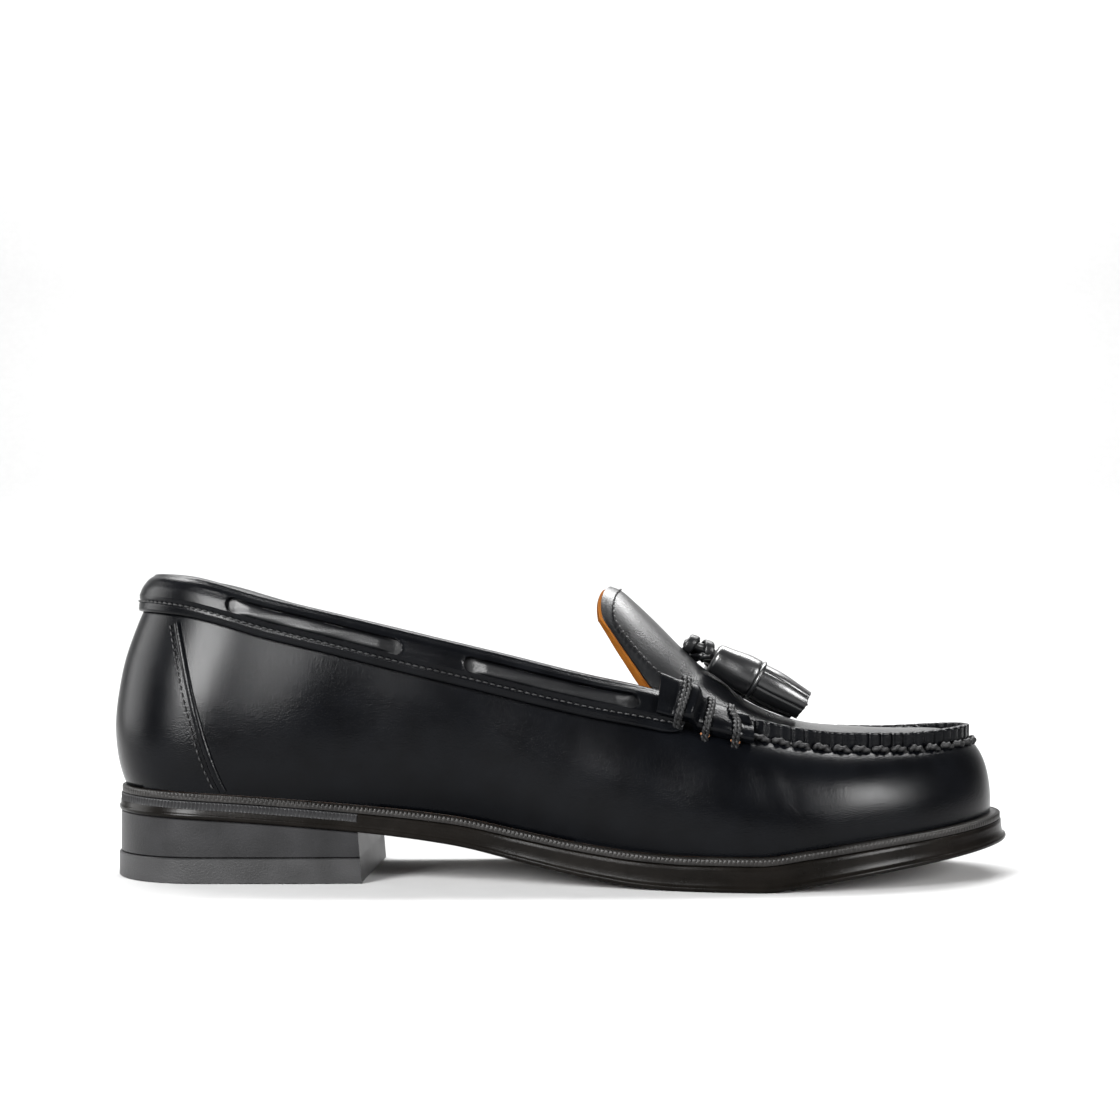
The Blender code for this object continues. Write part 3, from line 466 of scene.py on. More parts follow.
@functools.cache
def rungs():
    """Rungs up the upper's section at close turns round the collar: places, normals, lengths."""
    turns_here = np.linspace(-0.67, 0.67, 1341)
    steps = np.concatenate([np.linspace(0, 1, 81), [1.5, 2.0]])
    a, v = np.meshgrid(turns_here, steps, indexing="ij")
    line = surface(a, v)
    length = np.cumsum(np.linalg.norm(np.diff(line, axis=1), axis=2), axis=1)
    length = np.concatenate([np.zeros((len(length), 1)), length], axis=1)
    return turns_here, (line, normal(a, np.minimum(v, 1.9)), length)


def ladder(a):
    """The same rungs at any turn, between the two nearest."""
    turns_here, rows = rungs()
    at = (a - turns_here[0]) / (turns_here[1] - turns_here[0])
    i = min(max(int(at), 0), len(turns_here) - 2)
    return [row[i] + (row[i + 1] - row[i]) * (at - i) for row in rows]


def side_turns():
    """Turns along the outer side, closer under the roll, where sole and upper bend most."""
    even = list(np.arange(1, SIDE_STEPS) / SIDE_STEPS)
    between = [a + 0.5 / SIDE_STEPS for a in even]
    return sorted(even + [a for a in between if CLOSE_FROM < share(a) < CLOSE_TO])


def stations():
    """Turns on the outer side for a plate that is lofted from heel to toe."""
    end = 0.35 / SIDE_STEPS
    return np.array([end, *side_turns(), 1 - end])


# The part reaches from the back of the upper to the tip of the sole, and is as wide as the sole
MIDDLE_Y = sole_plan(np.linspace(0, 2, 721))[:, 1]
BACK_X = surface(np.zeros(201), np.linspace(0, 2, 201))[:, 0].min()
MIDDLE = np.array([(BACK_X + LENGTH) / 2, (MIDDLE_Y.min() + MIDDLE_Y.max()) / 2, 0])


def across(a, inset_plan, z_of_x, off=0.0):
    """The outer and inner points of a plan at one station, at the height of its own x."""
    pair = inset_plan(np.array([a, 2 - a]), off)
    return with_z(pair, z_of_x(pair[:, 0]))


def read_at(at, run, rows):
    """Rows of points or directions, read off at distances along them."""
    return np.stack([np.interp(at, run, rows[:, k]) for k in range(3)], axis=-1)


def placed(a, pairs):
    """Points at turn a, from pairs: distance down from the upper's top edge and off its face."""
    line, normals, length = ladder(float(a))
    downs, offs = np.asarray(pairs, dtype=float).T
    at = length[-1] - np.maximum(downs, 0)
    out = unit(read_at(at, length, normals))
    edge = unit(line[-1] - line[-2])
    return read_at(at, length, line) + out * offs[:, None] + edge * np.maximum(-downs, 0)[:, None]


def lengths(points):
    """Distance along a row of points."""
    return np.concatenate([[0], np.cumsum(np.linalg.norm(np.diff(points, axis=0), axis=1))])


def spaced(points, count):
    """The same line with evenly spaced points."""
    run = lengths(points)
    return read_at(np.linspace(0, run[-1], count), run, points)


def spline(points, per):
    """Catmull-Rom curve through rows of points, with some steps between each two."""
    points = np.asarray(points, dtype=float)
    ends = np.concatenate([[2 * points[0] - points[1]], points, [2 * points[-1] - points[-2]]])
    made = []
    for i in range(1, len(ends) - 2):
        for t in np.arange(per) / per:
            p0, p1, p2, p3 = ends[i - 1 : i + 3]
            made.append(0.5 * (2 * p1 + (p2 - p0) * t + (2 * p0 - 5 * p1 + 4 * p2 - p3) * t**2
                               + (3 * p1 - p0 - 3 * p2 + p3) * t**3))
    made.append(points[-1])
    return np.array(made)


def put(name, data, location=(0, 0, 0), rotation=(0, 0, 0)):
    """New object in the scene."""
    made = bpy.data.objects.new(name, data)
    made.location = location
    made.rotation_euler = rotation
    bpy.context.scene.collection.objects.link(made)
    return made


def piece(name, shape, looks, nodes=(), sharp=50, kinds=None):
    """One mesh of the shoe, riding on its only body; nodes are the solids that it stands for."""
    points, faces = shape
    if np.isnan(points).any():
        raise ValueError(name)
    mesh = bpy.data.meshes.new(name)
    mesh.from_pydata((points - MIDDLE).tolist(), [], faces)
    for cover in looks if isinstance(looks, list) else [looks]:
        mesh.materials.append(cover)
    if kinds is not None:
        mesh.polygons.foreach_set("material_index", np.asarray(kinds, dtype=np.int32))
    turned = bmesh.new()
    turned.from_mesh(mesh)
    bmesh.ops.recalc_face_normals(turned, faces=turned.faces)
    turned.to_mesh(mesh)
    turned.free()
    mesh.shade_smooth()
    mesh.set_sharp_from_angle(angle=math.radians(sharp))
    made = put(name, mesh)
    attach(made, "root")
    if nodes:
        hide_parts(*nodes)
    return made


def skin(sections, ring=False):
    """Points and faces of a skin over closed sections, capped at its ends or closed to a ring."""
    grid = np.asarray(sections, dtype=float)
    rows, columns = grid.shape[:2]
    index = np.arange(rows * columns).reshape(rows, columns)
    index = np.concatenate([index, index[:, :1]], axis=1)
    if ring:
        index = np.concatenate([index, index[:1]], axis=0)
    faces = np.stack([index[:-1, :-1], index[:-1, 1:], index[1:, 1:], index[1:, :-1]], axis=-1)
    faces = [tuple(face) for face in faces.reshape(-1, 4).tolist()]
    if not ring:
        faces.append(tuple(range(columns)))
        faces.append(tuple(range((rows - 1) * columns, rows * columns)))
    return grid.reshape(-1, 3), faces


def merged(parts):
    """Several (points, faces) as one."""
    points = []
    faces = []
    start = 0
    for some, more in parts:
        points.append(some)
        faces += [tuple(i + start for i in face) for face in more]
        start += len(some)
    return np.concatenate(points), faces


def frames_along(path, up):
    """Side and up directions along a path, up kept near the given directions."""
    path = np.asarray(path, dtype=float)
    tangent = unit(np.gradient(path, axis=0))
    up = np.broadcast_to(np.asarray(up, dtype=float), path.shape)
    over = unit(np.cross(tangent, up))
    return over, np.cross(over, tangent)


def ply_cord(path, radius, pitch, up, plies=2, around=12, taper=0.0, start=0.0):
    """Twisted cord of some plies along a path; taper is the length over which its ends narrow."""
    over, high = frames_along(path, up)
    run = lengths(path)
    angles = np.arange(around) * 2 * np.pi / around
    phase = 2 * np.pi * run / pitch + start
    swing = angles[None, :] - phase[:, None]
    size = radius * (0.78 + 0.22 * np.cos(plies * swing))
    if taper:
        ends = np.clip(np.minimum(run, run[-1] - run) / taper, 0, 1)
        size = size * np.sqrt(1 - (1 - ends[:, None] * 0.97) ** 2 * 0.9)
    ring = np.cos(angles)[None, :, None] * over[:, None] + np.sin(angles)[None, :, None] * high[:, None]
    return skin(np.asarray(path)[:, None] + ring * size[..., None])


# Machine stitches: pitch, length and radius
SEAM_STITCH = (0.0024, 0.0018, 0.00036)
TONGUE_STITCH = (0.0023, 0.0017, 0.00042)
BAND_STITCH = (0.0023, 0.0017, 0.00040)


def sewn_row(points, normals, pitch, length, radius):
    """Machine stitches along a line on a face: short rounded threads, low at their ends."""
    run = lengths(points)
    count = int(run[-1] // pitch)
    first = (run[-1] - (count - 1) * pitch) / 2
    parts = []
    along = np.linspace(-0.5, 0.5, 6)
    for k in range(count):
        at = first + k * pitch + along * length
        out = unit(read_at(at, run, normals))
        rise = (1 - (2 * along) ** 2) * radius * 1.1
        path = read_at(at, run, points) + out * rise[:, None]
        parts.append(ply_cord(path, radius, 1.0, out, plies=1, around=6, taper=0.25 * length))
    return merged(parts)


def apron_rows():
    """Rows of points across the top face of apron and tongue, from the toe back to its tip."""
    spread = np.linspace(-1, 1, 61)
    rows = []
    for a in np.linspace(1 - 0.4 / SIDE_STEPS, turn(APRON_BACK_SHARE), 13):
        ends = []
        for at in (a, 2 - a):
            edge = surface(at, 2.0) - normal(at, 1.9) * (WALL + GAP)
            edge[2] -= APRON_DROP
            ends.append(edge)
        crown = float(smooth(APRON_CROWN, "crown", share(a))) * (TONGUE_HEIGHT - MOC_HEIGHT)
        row = ends[0] + (spread[:, None] + 1) / 2 * (ends[1] - ends[0])
        row[:, 2] += crown * (1 - np.abs(spread) ** 2)
        rows.append(row)
    for k in range(len(TONGUE_ROWS["edge_x"][0])):
        row = {name: values[0][k] for name, values in TONGUE_ROWS.items()}
        edge_x = row["edge_x"] * LENGTH
        mid_x = row["mid_x"] * LENGTH
        c = (edge_x - COLLAR_LEAN) / (LENGTH - MOC_SETBACK - COLLAR_LEAN)
        wide = float(top_half(c)) * row["edge_wide"]
        fall = (row["mid_high"] - row["edge_high"]) * TONGUE_HEIGHT
        bent = np.sin(np.pi * np.abs(spread))
        x = mid_x + (edge_x - mid_x) * spread**2 - row["sweep"] * LENGTH * bent
        y = float(centre(edge_x)) + wide * spread
        z = row["mid_high"] * TONGUE_HEIGHT - fall * np.abs(spread) ** row["power"]
        rows.append(np.stack([x, y, z], axis=-1))
    return np.array(rows)


def grid_normals(grid, up):
    """Normals of a grid of points, turned towards the up direction."""
    along = np.gradient(grid, axis=0)
    over = np.gradient(grid, axis=1)
    normals = unit(np.cross(along, over))
    flip = np.sign((normals * up).sum(axis=-1))
    return normals * flip[..., None]


def band_turns(last, count):
    """Turns round the back of the collar, from the outer front end to the inner one."""
    end = turn(last)
    return np.linspace(end, -end, count)


def in_slot(c):
    """1 inside a slot clear of its round ends, falling to 0 in the tunnel."""
    ramp = SLOT_HEIGHT / LENGTH
    most = 0.0
    for start, end in SLOTS:
        inside = min(c - start - 0.6 * ramp, end - 0.6 * ramp - c) / ramp
        most = max(most, min(max(inside, 0.0), 1.0))
    return most


def roll_share(s):
    return ROLL_BACK_SHARE + (ROLL_FRONT_SHARE - ROLL_BACK_SHARE) * s


def roll_seat(s):
    """Height of the roll's back face over the upper: over the band behind, on the upper ahead."""
    over_band = BAND_EASE + LACE_THICKNESS + GAP + 1.4 * BAND_WALL
    clear = (BAND_FRONT_SHARE - ROLL_BACK_SHARE) / (ROLL_FRONT_SHARE - ROLL_BACK_SHARE)
    return ROLL_EASE + over_band * (1 - ease((s - clear - 0.02) / 0.12))


def binding_reach():
    """Half of a binding's width as a share of the roll's length, with its clearance."""
    run = (ROLL_FRONT_SHARE - ROLL_BACK_SHARE) * (LENGTH - MOC_SETBACK - COLLAR_LEAN)
    return (BINDING_WIDTH / 2 + GAP) / run


def roll_outline(s, grow=0.0):
    """Face of the roll at s as distances down and off the upper, grown by a clearance."""
    top = float(smooth(ROLL_EDGES, "top", s)) - grow
    bottom = float(smooth(ROLL_EDGES, "bottom", s)) + grow
    base = float(roll_seat(s))
    high = roll_height(s) + grow
    middle = (top + bottom) / 2
    half = (bottom - top) / 2
    face = []
    for t in np.linspace(0, np.pi, 27):
        down = middle - half * math.copysign(abs(math.cos(t)) ** 0.6, math.cos(t))
        face.append((down, base + high * (0.35 + 0.65 * math.sin(t) ** 0.7)))
    return face, base


def roll_turn(s, sign):
    return sign * turn(roll_share(s))


def along_axis(start, axis, profile, count, shape):
    """Sections of a form along an axis, from (distance, radius) pairs that shape turns into rings."""
    axis = unit(np.array(axis, dtype=float))
    across_axis = unit(np.cross(axis, np.array([0.0, 0.0, 1.0])))
    over = np.cross(across_axis, axis)
    angles = np.arange(count) * 2 * np.pi / count
    sections = []
    for distance, radius in profile:
        reach = shape(radius, np.arange(count))
        ring = np.outer(np.cos(angles) * reach, across_axis) + np.outer(np.sin(angles) * reach, over)
        sections.append(np.array(start) + axis * distance + ring)
    return sections


BUMP_HEIGHT = 0.0002


def look(name, dark, light, rough, grain, bump, coat=0.0, coat_rough=0.2, sheen=0.0, cells=0.0,
         specular=0.5, patch=90.0):
    """Procedural leather or thread: two tones, patchy gloss, fine grain and optional pores."""
    made = bpy.data.materials.new(name)
    made.use_nodes = True
    nodes = made.node_tree.nodes
    links = made.node_tree.links

    def node(kind, sources, **values):
        """New node with its values set and its inputs linked to the sources."""
        new = nodes.new("ShaderNode" + kind)
        for socket, value in values.items():
            new.inputs[socket.replace("_", " ")].default_value = value
        for socket, source in sources.items():
            links.new(source, new.inputs[socket])
        return new

    spot = {"Vector": nodes.new("ShaderNodeTexCoord").outputs["Object"]}
    tone = node("TexNoise", spot, Scale=patch, Detail=4).outputs["Fac"]
    ramp = node("ValToRGB", {"Fac": tone})
    for element, colour, position in zip(ramp.color_ramp.elements, (dark, light), (0.35, 0.70)):
        element.color = (*colour, 1)
        element.position = position
    gloss = node("MapRange", {"Value": tone}, To_Min=rough - 0.05, To_Max=rough + 0.07)
    height = node("TexNoise", spot, Scale=grain, Detail=6).outputs["Fac"]
    if cells:
        pores = node("TexVoronoi", spot, Scale=cells)
        both = node("Math", {0: pores.outputs["Distance"], 1: height})
        both.operation = "ADD"
        height = both.outputs["Value"]
    relief = node("Bump", {"Height": height}, Strength=bump, Distance=BUMP_HEIGHT)
    shader = nodes["Principled BSDF"]
    links.new(ramp.outputs["Color"], shader.inputs["Base Color"])
    links.new(gloss.outputs["Result"], shader.inputs["Roughness"])
    links.new(relief.outputs["Normal"], shader.inputs["Normal"])
    shader.inputs["Coat Weight"].default_value = coat
    shader.inputs["Coat Roughness"].default_value = coat_rough
    shader.inputs["Sheen Weight"].default_value = sheen
    shader.inputs["Specular IOR Level"].default_value = specular
    return made


LEATHER = look("polished_leather", (0.0006, 0.0007, 0.0010), (0.0011, 0.0013, 0.0018), 0.225, 1900, 0.22,
               coat=0.03, coat_rough=0.18, cells=2100, specular=0.08)
APRON_LEATHER = look("apron_leather", (0.0013, 0.0014, 0.0017), (0.0023, 0.0025, 0.0030), 0.28, 1800, 0.20,
                     coat=0.07, coat_rough=0.22, cells=1900, specular=0.24)
THONG_LEATHER = look("thong_leather", (0.0016, 0.0017, 0.0020), (0.0032, 0.0034, 0.0039), 0.35, 1800, 0.40,
                     coat=0.08, coat_rough=0.3, specular=0.17)
TASSEL_LEATHER = look("tassel_leather", (0.0014, 0.0015, 0.0018), (0.0028, 0.0030, 0.0034), 0.30, 1700,
                      0.35, coat=0.30, coat_rough=0.24, specular=0.48)
RAW_EDGE = look("raw_leather_edge", (0.005, 0.0045, 0.0045), (0.012, 0.010, 0.009), 0.75, 2500, 0.7)
LINING = look("lining_leather", (0.150, 0.070, 0.028), (0.215, 0.108, 0.046), 0.62, 900, 0.35, sheen=0.2,
              cells=1100, patch=60)
SUEDE_EDGE = look("suede_edge", (0.110, 0.034, 0.004), (0.190, 0.068, 0.010), 0.85, 2600, 0.8,
                  specular=0.05)
SOLE_EDGE = look("sole_edge", (0.0020, 0.0017, 0.0014), (0.0038, 0.0032, 0.0027), 0.24, 1300, 0.25,
                 coat=0.03, coat_rough=0.25, specular=0.05)
SOLE_TREAD = look("sole_tread", (0.060, 0.034, 0.018), (0.090, 0.053, 0.029), 0.55, 1200, 0.5, cells=900)
HEEL_STACK = look("heel_stack", (0.0060, 0.0060, 0.0064), (0.0098, 0.0098, 0.0105), 0.40, 1500, 0.4,
                  coat=0.06, coat_rough=0.3, specular=0.15)
LIFT_RUBBER = look("lift_rubber", (0.0080, 0.0080, 0.0084), (0.0130, 0.0130, 0.0136), 0.46, 1700, 0.45,
                   specular=0.32)
WELT_LEATHER = look("welt_leather", (0.0042, 0.0038, 0.0035), (0.0085, 0.0077, 0.0071), 0.40, 1500, 0.45,
                    specular=0.18)
CORD_THREAD = look("waxed_thread", (0.0018, 0.0018, 0.0020), (0.0046, 0.0046, 0.0050), 0.48, 2600, 0.7,
                   specular=0.20)
FINE_THREAD = look("sewing_thread", (0.0045, 0.0045, 0.0047), (0.0110, 0.0110, 0.0115), 0.45, 2600, 0.6,
                   specular=0.25)
RAW_SPECK = look("raw_leather_speck", (0.15, 0.055, 0.018), (0.24, 0.095, 0.034), 0.80, 2600, 0.8)


# Camera, at the photograph's angle: 500 mm out from the shoe's middle plane, 70 mm up
FRAME_PIXELS = 1120
SCALE_AT_MIDDLE = 2.93
DISTANCE = 0.500
EYE_HEIGHT = 0.070
EYE_X = 0.150
PRINCIPAL = (563.0, 665.0)
SENSOR = 36.0


def camera():
    made = bpy.data.cameras.new("camera")
    made.sensor_width = SENSOR
    made.lens = SCALE_AT_MIDDLE * DISTANCE * 1000 / FRAME_PIXELS * SENSOR
    made.shift_x = (FRAME_PIXELS / 2 - PRINCIPAL[0]) / FRAME_PIXELS
    made.shift_y = (PRINCIPAL[1] - FRAME_PIXELS / 2) / FRAME_PIXELS
    made.clip_start = 0.01
    place = (EYE_X - MIDDLE[0], -DISTANCE, EYE_HEIGHT)
    bpy.context.scene.camera = put("camera", made, place, (math.pi / 2, 0, 0))


def area(name, place, aim, size, power):
    """Soft light of some size, from a place towards an aim."""
    made = bpy.data.lights.new(name, "AREA")
    made.shape = "RECTANGLE"
    made.size, made.size_y = size
    made.energy = power
    away = np.array(place) - np.array(aim)
    flat = math.hypot(away[0], away[1])
    put(name, made, place, (math.atan2(flat, away[2]), 0, math.atan2(away[0], -away[1])))


WORLD_STRENGTH = 0.16
FLOOR_HALF_WIDTH = 4.0

# Side line of the floor, flat under the shoe and swept up behind it: depth and height
SWEEP = (
    (-2.5, 0.0), (0.6, 0.0), (1.1, 0.03), (1.5, 0.14), (1.8, 0.36), (1.95, 0.7), (2.0, 1.2), (2.0, 3.0),
)

# Lights: name, place, aim, size and power
LIGHTS = (
    ("sweep_light", (0.0, 0.9, 2.2), (0.0, 1.9, 0.4), (3.0, 0.6), 170),
    ("top_back", (0.0, 0.50, 1.0), (0.0, 0.0, 0.03), (1.5, 0.55), 28),
    ("left_front", (-0.72, -0.95, 0.60), (-0.05, 0.0, 0.05), (0.45, 0.62), 54),
    ("left_side", (-1.05, 0.12, 0.35), (-0.10, 0.0, 0.05), (0.6, 0.6), 7),
    ("right_front", (0.95, -0.95, 0.55), (0.08, 0.0, 0.04), (0.46, 0.52), 35),
)


def studio():
    """Plain pale sweep, lit on its own, and four soft lights for the shoe."""
    scene = bpy.context.scene
    scene.view_settings.view_transform = "Standard"
    scene.view_settings.look = "None"
    scene.world = bpy.data.worlds.new("studio")
    scene.world.use_nodes = True
    back = scene.world.node_tree.nodes["Background"]
    back.inputs["Color"].default_value = (1.0, 1.0, 1.0, 1)
    back.inputs["Strength"].default_value = WORLD_STRENGTH
    points = [(side_x, y, z) for y, z in SWEEP for side_x in (-FLOOR_HALF_WIDTH, FLOOR_HALF_WIDTH)]
    faces = [(2 * i, 2 * i + 1, 2 * i + 3, 2 * i + 2) for i in range(len(SWEEP) - 1)]
    mesh = bpy.data.meshes.new("floor")
    mesh.from_pydata(points, [], faces)
    mesh.shade_smooth()
    mesh.materials.append(look("pale_floor", (0.27, 0.27, 0.27), (0.28, 0.28, 0.28), 0.9, 300, 0.02))
    put("floor", mesh)
    for light in LIGHTS:
        area(*light)


def even_turns(step, low=0.0, high=2.0, plan=sole_plan):
    """Turns evenly spaced along a plan line."""
    fine = np.linspace(low, high, 6001)
    run = lengths(plan(fine))
    return np.interp(np.linspace(0, run[-1], int(run[-1] / step) + 1), run, fine)


def outsole_finish():
    """Outsole with a rounded lip along its edge, dyed at the edge and bare underneath."""
    sections = []
    breast = BREAST_SHARE * LENGTH
    edge = turn(BREAST_SHARE)
    places = np.concatenate([stations(), [edge - BREAST_STEP, edge + BREAST_STEP]])
    for a in np.sort(places):
        c = share(a)
        setback = float(smooth(SOLE_PLAN, "setback", c)) * WELT_SETBACK
        heel = c * LENGTH < breast
        sink = RAND_HEIGHT + GAP if heel else 0
        shelf = RAND_WIDTH + GAP
        near = []
        far = []
        rungs = (
            (0.0006, 0.0, 0.0),
            (0.0002, 0.00015, 0.0),
            (0.0, 0.0005, 0.0),
            (0.0, 0.8 * EDGE_LIP_HEIGHT, 0.0),
            (0.1 * setback, 1.1 * EDGE_LIP_HEIGHT, 0.0),
            (0.45 * setback, 1.3 * EDGE_LIP_HEIGHT, 0.0),
            (0.7 * setback, 0.2 * EDGE_LIP_HEIGHT, 0.30),
            (0.85 * setback, 0.0, 0.55),
            (0.95 * setback, -0.4 * sink, 0.8),
            (setback, -sink - 0.0003, 1.0),
            (setback + 0.0003, -sink, 1.0),
            (shelf if heel else 0.4 * shelf, -sink, 1.0),
            (shelf, 0.0, 1.0),
        )
        for inset, lift, level in rungs:
            pair = sole_plan(np.array([a, 2 - a]), inset)
            low = sole_bottom(pair[:, 0])
            z = low + level * (outsole_top(pair[:, 0]) - low) + lift
            near.append([pair[0, 0], pair[0, 1], z[0]])
            far.append([pair[1, 0], pair[1, 1], z[1]])
        sections.append(near + far[::-1])
    grid = np.array(sections)
    count = grid.shape[1]
    shape = skin(grid)
    kinds = np.zeros(len(shape[1]), dtype=int)
    kinds[count - 1 : (len(grid) - 1) * count : count] = 1
    piece("outsole_finish", shape, [SOLE_EDGE, SOLE_TREAD], ("outsole",),
          kinds=kinds)


TICK_PITCH = 0.0014
TICK_DEPTH = 0.00050


def welt_finish():
    """Welt with the small wheeled ticks round its upper edge."""
    a = even_turns(TICK_PITCH / 4)[:-1]
    tick = np.where(np.arange(len(a)) % 4 == 0, TICK_DEPTH, 0.0)
    setback = smooth(SOLE_PLAN, "setback", share(a)) * WELT_SETBACK + GAP
    inner = foot_plan(a, WELT_SEAT)
    foot = foot_plan(a)
    outer = sole_plan(a, setback)
    reach = outer - foot
    rungs = (
        (inner, outsole_top, GAP, 0.0),
        (outer - 0.03 * reach, outsole_top, GAP, 0.0),
        (outer, outsole_top, GAP + 0.0003, 0.0),
        (outer, outsole_top, GAP + 0.5 * WELT_THICKNESS, 0.6),
        (outer, welt_top, -0.0006, 1.0),
        (outer - 0.06 * reach, welt_top, -0.0003, 0.8),
        (outer - 0.16 * reach, welt_top, -0.0001, 1.0),
        (outer - 0.36 * reach, welt_top, 0.0, 0.9),
        (outer - 0.46 * reach, welt_top, -0.0001, 0.3),
        (foot + 0.3 * reach, welt_top, 0.0, 0.0),
        (foot, welt_top, 0.0, 0.0),
        (inner, welt_top, 0.0, 0.0),
    )
    inward = unit(foot - outer)
    grid = []
    for p, z, lift, deep in rungs:
        p = p + inward * (0.7 * tick * deep)[:, None]
        grid.append(with_z(p, z(p[:, 0]) + lift - tick * deep))
    shape = skin(np.stack(grid, axis=1), ring=True)
    piece("welt_finish", shape, WELT_LEATHER, ("welt",), sharp=45)


FINE_RIB_PITCH = 0.00125
FINE_RIB_DEPTH = 0.00038


def rand_finish():
    """Finely ribbed strip round the heel seat."""
    edge = turn(BREAST_SHARE - GAP / LENGTH)
    a = even_turns(FINE_RIB_PITCH / 6, -edge, edge)
    rib = FINE_RIB_DEPTH * np.array([0.0, 0.12, 0.6, 1.0, 0.6, 0.12])[np.arange(len(a)) % 6]
    setback = smooth(SOLE_PLAN, "setback", share(a)) * WELT_SETBACK
    sections = []
    for inset, level, ribbed in (
        (RAND_WIDTH, 0.0, 0), (0.0003, 0.0, 0), (0.0, 0.10, 0.4), (0.0, 0.2, 1), (0.0, 0.8, 1),
        (0.0, 0.9, 0.4), (0.0003, 1.0, 0), (RAND_WIDTH, 1.0, 0),
    ):
        plan = sole_plan(a, (setback if inset < RAND_WIDTH else 0.0) + inset + rib * ribbed)
        sections.append(with_z(plan, outsole_top(plan[:, 0]) - RAND_HEIGHT * (1 - level)))
    shape = skin(np.stack(sections, axis=1))
    piece("rand_finish", shape, HEEL_STACK, ("heel_rand",), sharp=60)


def heel_layer(name, bottom, top, inset, looks):
    """One layer of the heel with rounded edges and a raked, slightly hollow breast."""
    steps = np.linspace(0, 1, 13)
    soft = 0.00035
    levels = ((soft, 0.0, 0.0), (0.0, soft, 0.0), (0.0, -soft, 1.0), (soft, 0.0, 1.0))
    sections = []
    edge = turn(BREAST_SHARE)
    places = [a for a in stations() if share(a) < BREAST_SHARE - 0.006] + [edge]
    for a in places:
        rings = []
        for draw, lift, level in levels:
            low = across(a, sole_plan, bottom, inset + draw)
            high = across(a, sole_plan, top, inset + draw)
            pair = low + level * (high - low)
            pair[:, 2] += lift
            row = pair[0] + steps[:, None] * (pair[1] - pair[0])
            if a == edge:
                rise = row[:, 2] / HEEL_HEIGHT
                row[:, 0] = BREAST_SHARE * LENGTH + BREAST_RAKE * (1 - rise)
                row[:, 0] -= BREAST_HOLLOW * 4 * steps * (1 - steps)
            rings.append(row)
        outer = [ring[0] for ring in rings[1:3]]
        inner = [ring[-1] for ring in rings[1:3]]
        sections.append(np.concatenate([rings[0], inner, rings[3][::-1], outer[::-1]]))
    piece(name + "_finish", skin(sections), looks, (name,), sharp=35)


def heel():
    """Stacked block and rubber lift."""
    def level(z):
        return lambda x: np.full(np.shape(x), z)

    def block_high(x):
        return sole_bottom(x) - 0.5 * GAP

    block_low = level(LIFT_HEIGHT + 0.5 * GAP)
    heel_layer("heel_block", block_low, block_high, LIFT_PROUD, HEEL_STACK)
    heel_layer("top_lift", level(0.0), level(LIFT_HEIGHT), 0.0, LIFT_RUBBER)


def sock():
    """Board inside the welt, covered by the sock lining."""
    spread = np.linspace(-1, 1, 15)
    sections = []
    for a in stations():
        low = across(a, foot_plan, outsole_top, WELT_SEAT + 2 * GAP)
        row = low[0] + (spread[:, None] + 1) / 2 * (low[1] - low[0])
        under = row + [0, 0, GAP]
        over = row + [0, 0, GAP + INSOLE_THICKNESS]
        over[:, 2] -= 0.0005 * np.abs(spread) ** 6
        sections.append(np.concatenate([under, over[::-1]]))
    piece("sock_finish", skin(sections), LINING, ("insole",), sharp=50)


# Pleats of the lip: where they start along the shoe, over which share they fade in
PLEAT_FROM = 0.705
PLEAT_FADE = 0.02
PLEAT_PITCH = 0.0042
PLEAT_DEPTH = 0.0006


def upper_fine_turns():
    """Columns of the upper, closest along the pleated lip."""
    fine = np.linspace(0, 2, 8001)
    top = surface(fine, np.full(fine.shape, 2.0))
    low = surface(fine, np.full(fine.shape, 0.4))
    step = np.where(share(fine) > 0.67, 0.00048, 0.0013)
    dense = (np.diff(lengths(top)) + np.diff(lengths(low))) / 2
    run = np.concatenate([[0], np.cumsum(dense / step[1:])])
    a = np.interp(np.linspace(0, run[-1], int(run[-1]) + 1), run, fine)[:-1]
    along = np.interp(a, fine, lengths(top))
    return a, along


def pleat(along):
    """Groove between two pleats: 1 in the groove, 0 on the tab."""
    t = (along / PLEAT_PITCH) % 1.0
    return np.exp(-(((t - 0.5) / 0.085) ** 2))


def pleated(a):
    """1 where the lip is pleated, 0 behind."""
    return ease((share(a) - PLEAT_FROM) / PLEAT_FADE)


def upper_relief(a, v, along, place_xyz):
    """How far the outer face stands off its smooth form."""
    front = pleated(a)
    low = ease((v - 0.935) / 0.05)
    groove = pleat(along) * front
    lip = ease((v - 1.0) / 0.15)
    t = (along / PLEAT_PITCH) % 1.0
    tab = (1 - (2 * np.abs(((t + 0.5) % 1.0) - 0.5)) ** 2) * 0.00022 * front * lip
    relief = -PLEAT_DEPTH * groove * low * (0.35 + 0.65 * lip) + tab
    relief = relief - 0.00045 * front * np.exp(-(((v - 0.985) / 0.02) ** 2))
    x, y, z = place_xyz[..., 0], place_xyz[..., 1], place_xyz[..., 2]
    soft = np.sin(2 * np.pi * (x / 0.047 + z / 0.061) + 0.7)
    soft = soft * np.sin(2 * np.pi * (z / 0.039 - x / 0.17) + 1.9)
    relief = relief + 0.00016 * soft * np.sin(np.pi * np.clip(v, 0, 1)) ** 2
    crease = np.zeros_like(v)
    for at, wide, deep, slope in CREASES:
        line = x - at - slope * (z - 0.030)
        reach = ease((z - 0.020) / 0.008) * ease((0.0425 - z) / 0.006)
        crease = crease - deep * np.exp(-((line / wide) ** 2)) * reach
    return relief + crease


# Soft flex creases behind the ball: place along the shoe, width, depth and lean
CREASES = (
    (0.2130, 0.0030, 0.00007, -0.30),
    (0.2215, 0.0024, 0.00006, -0.35),
    (0.2320, 0.0030, 0.00004, -0.25),
)


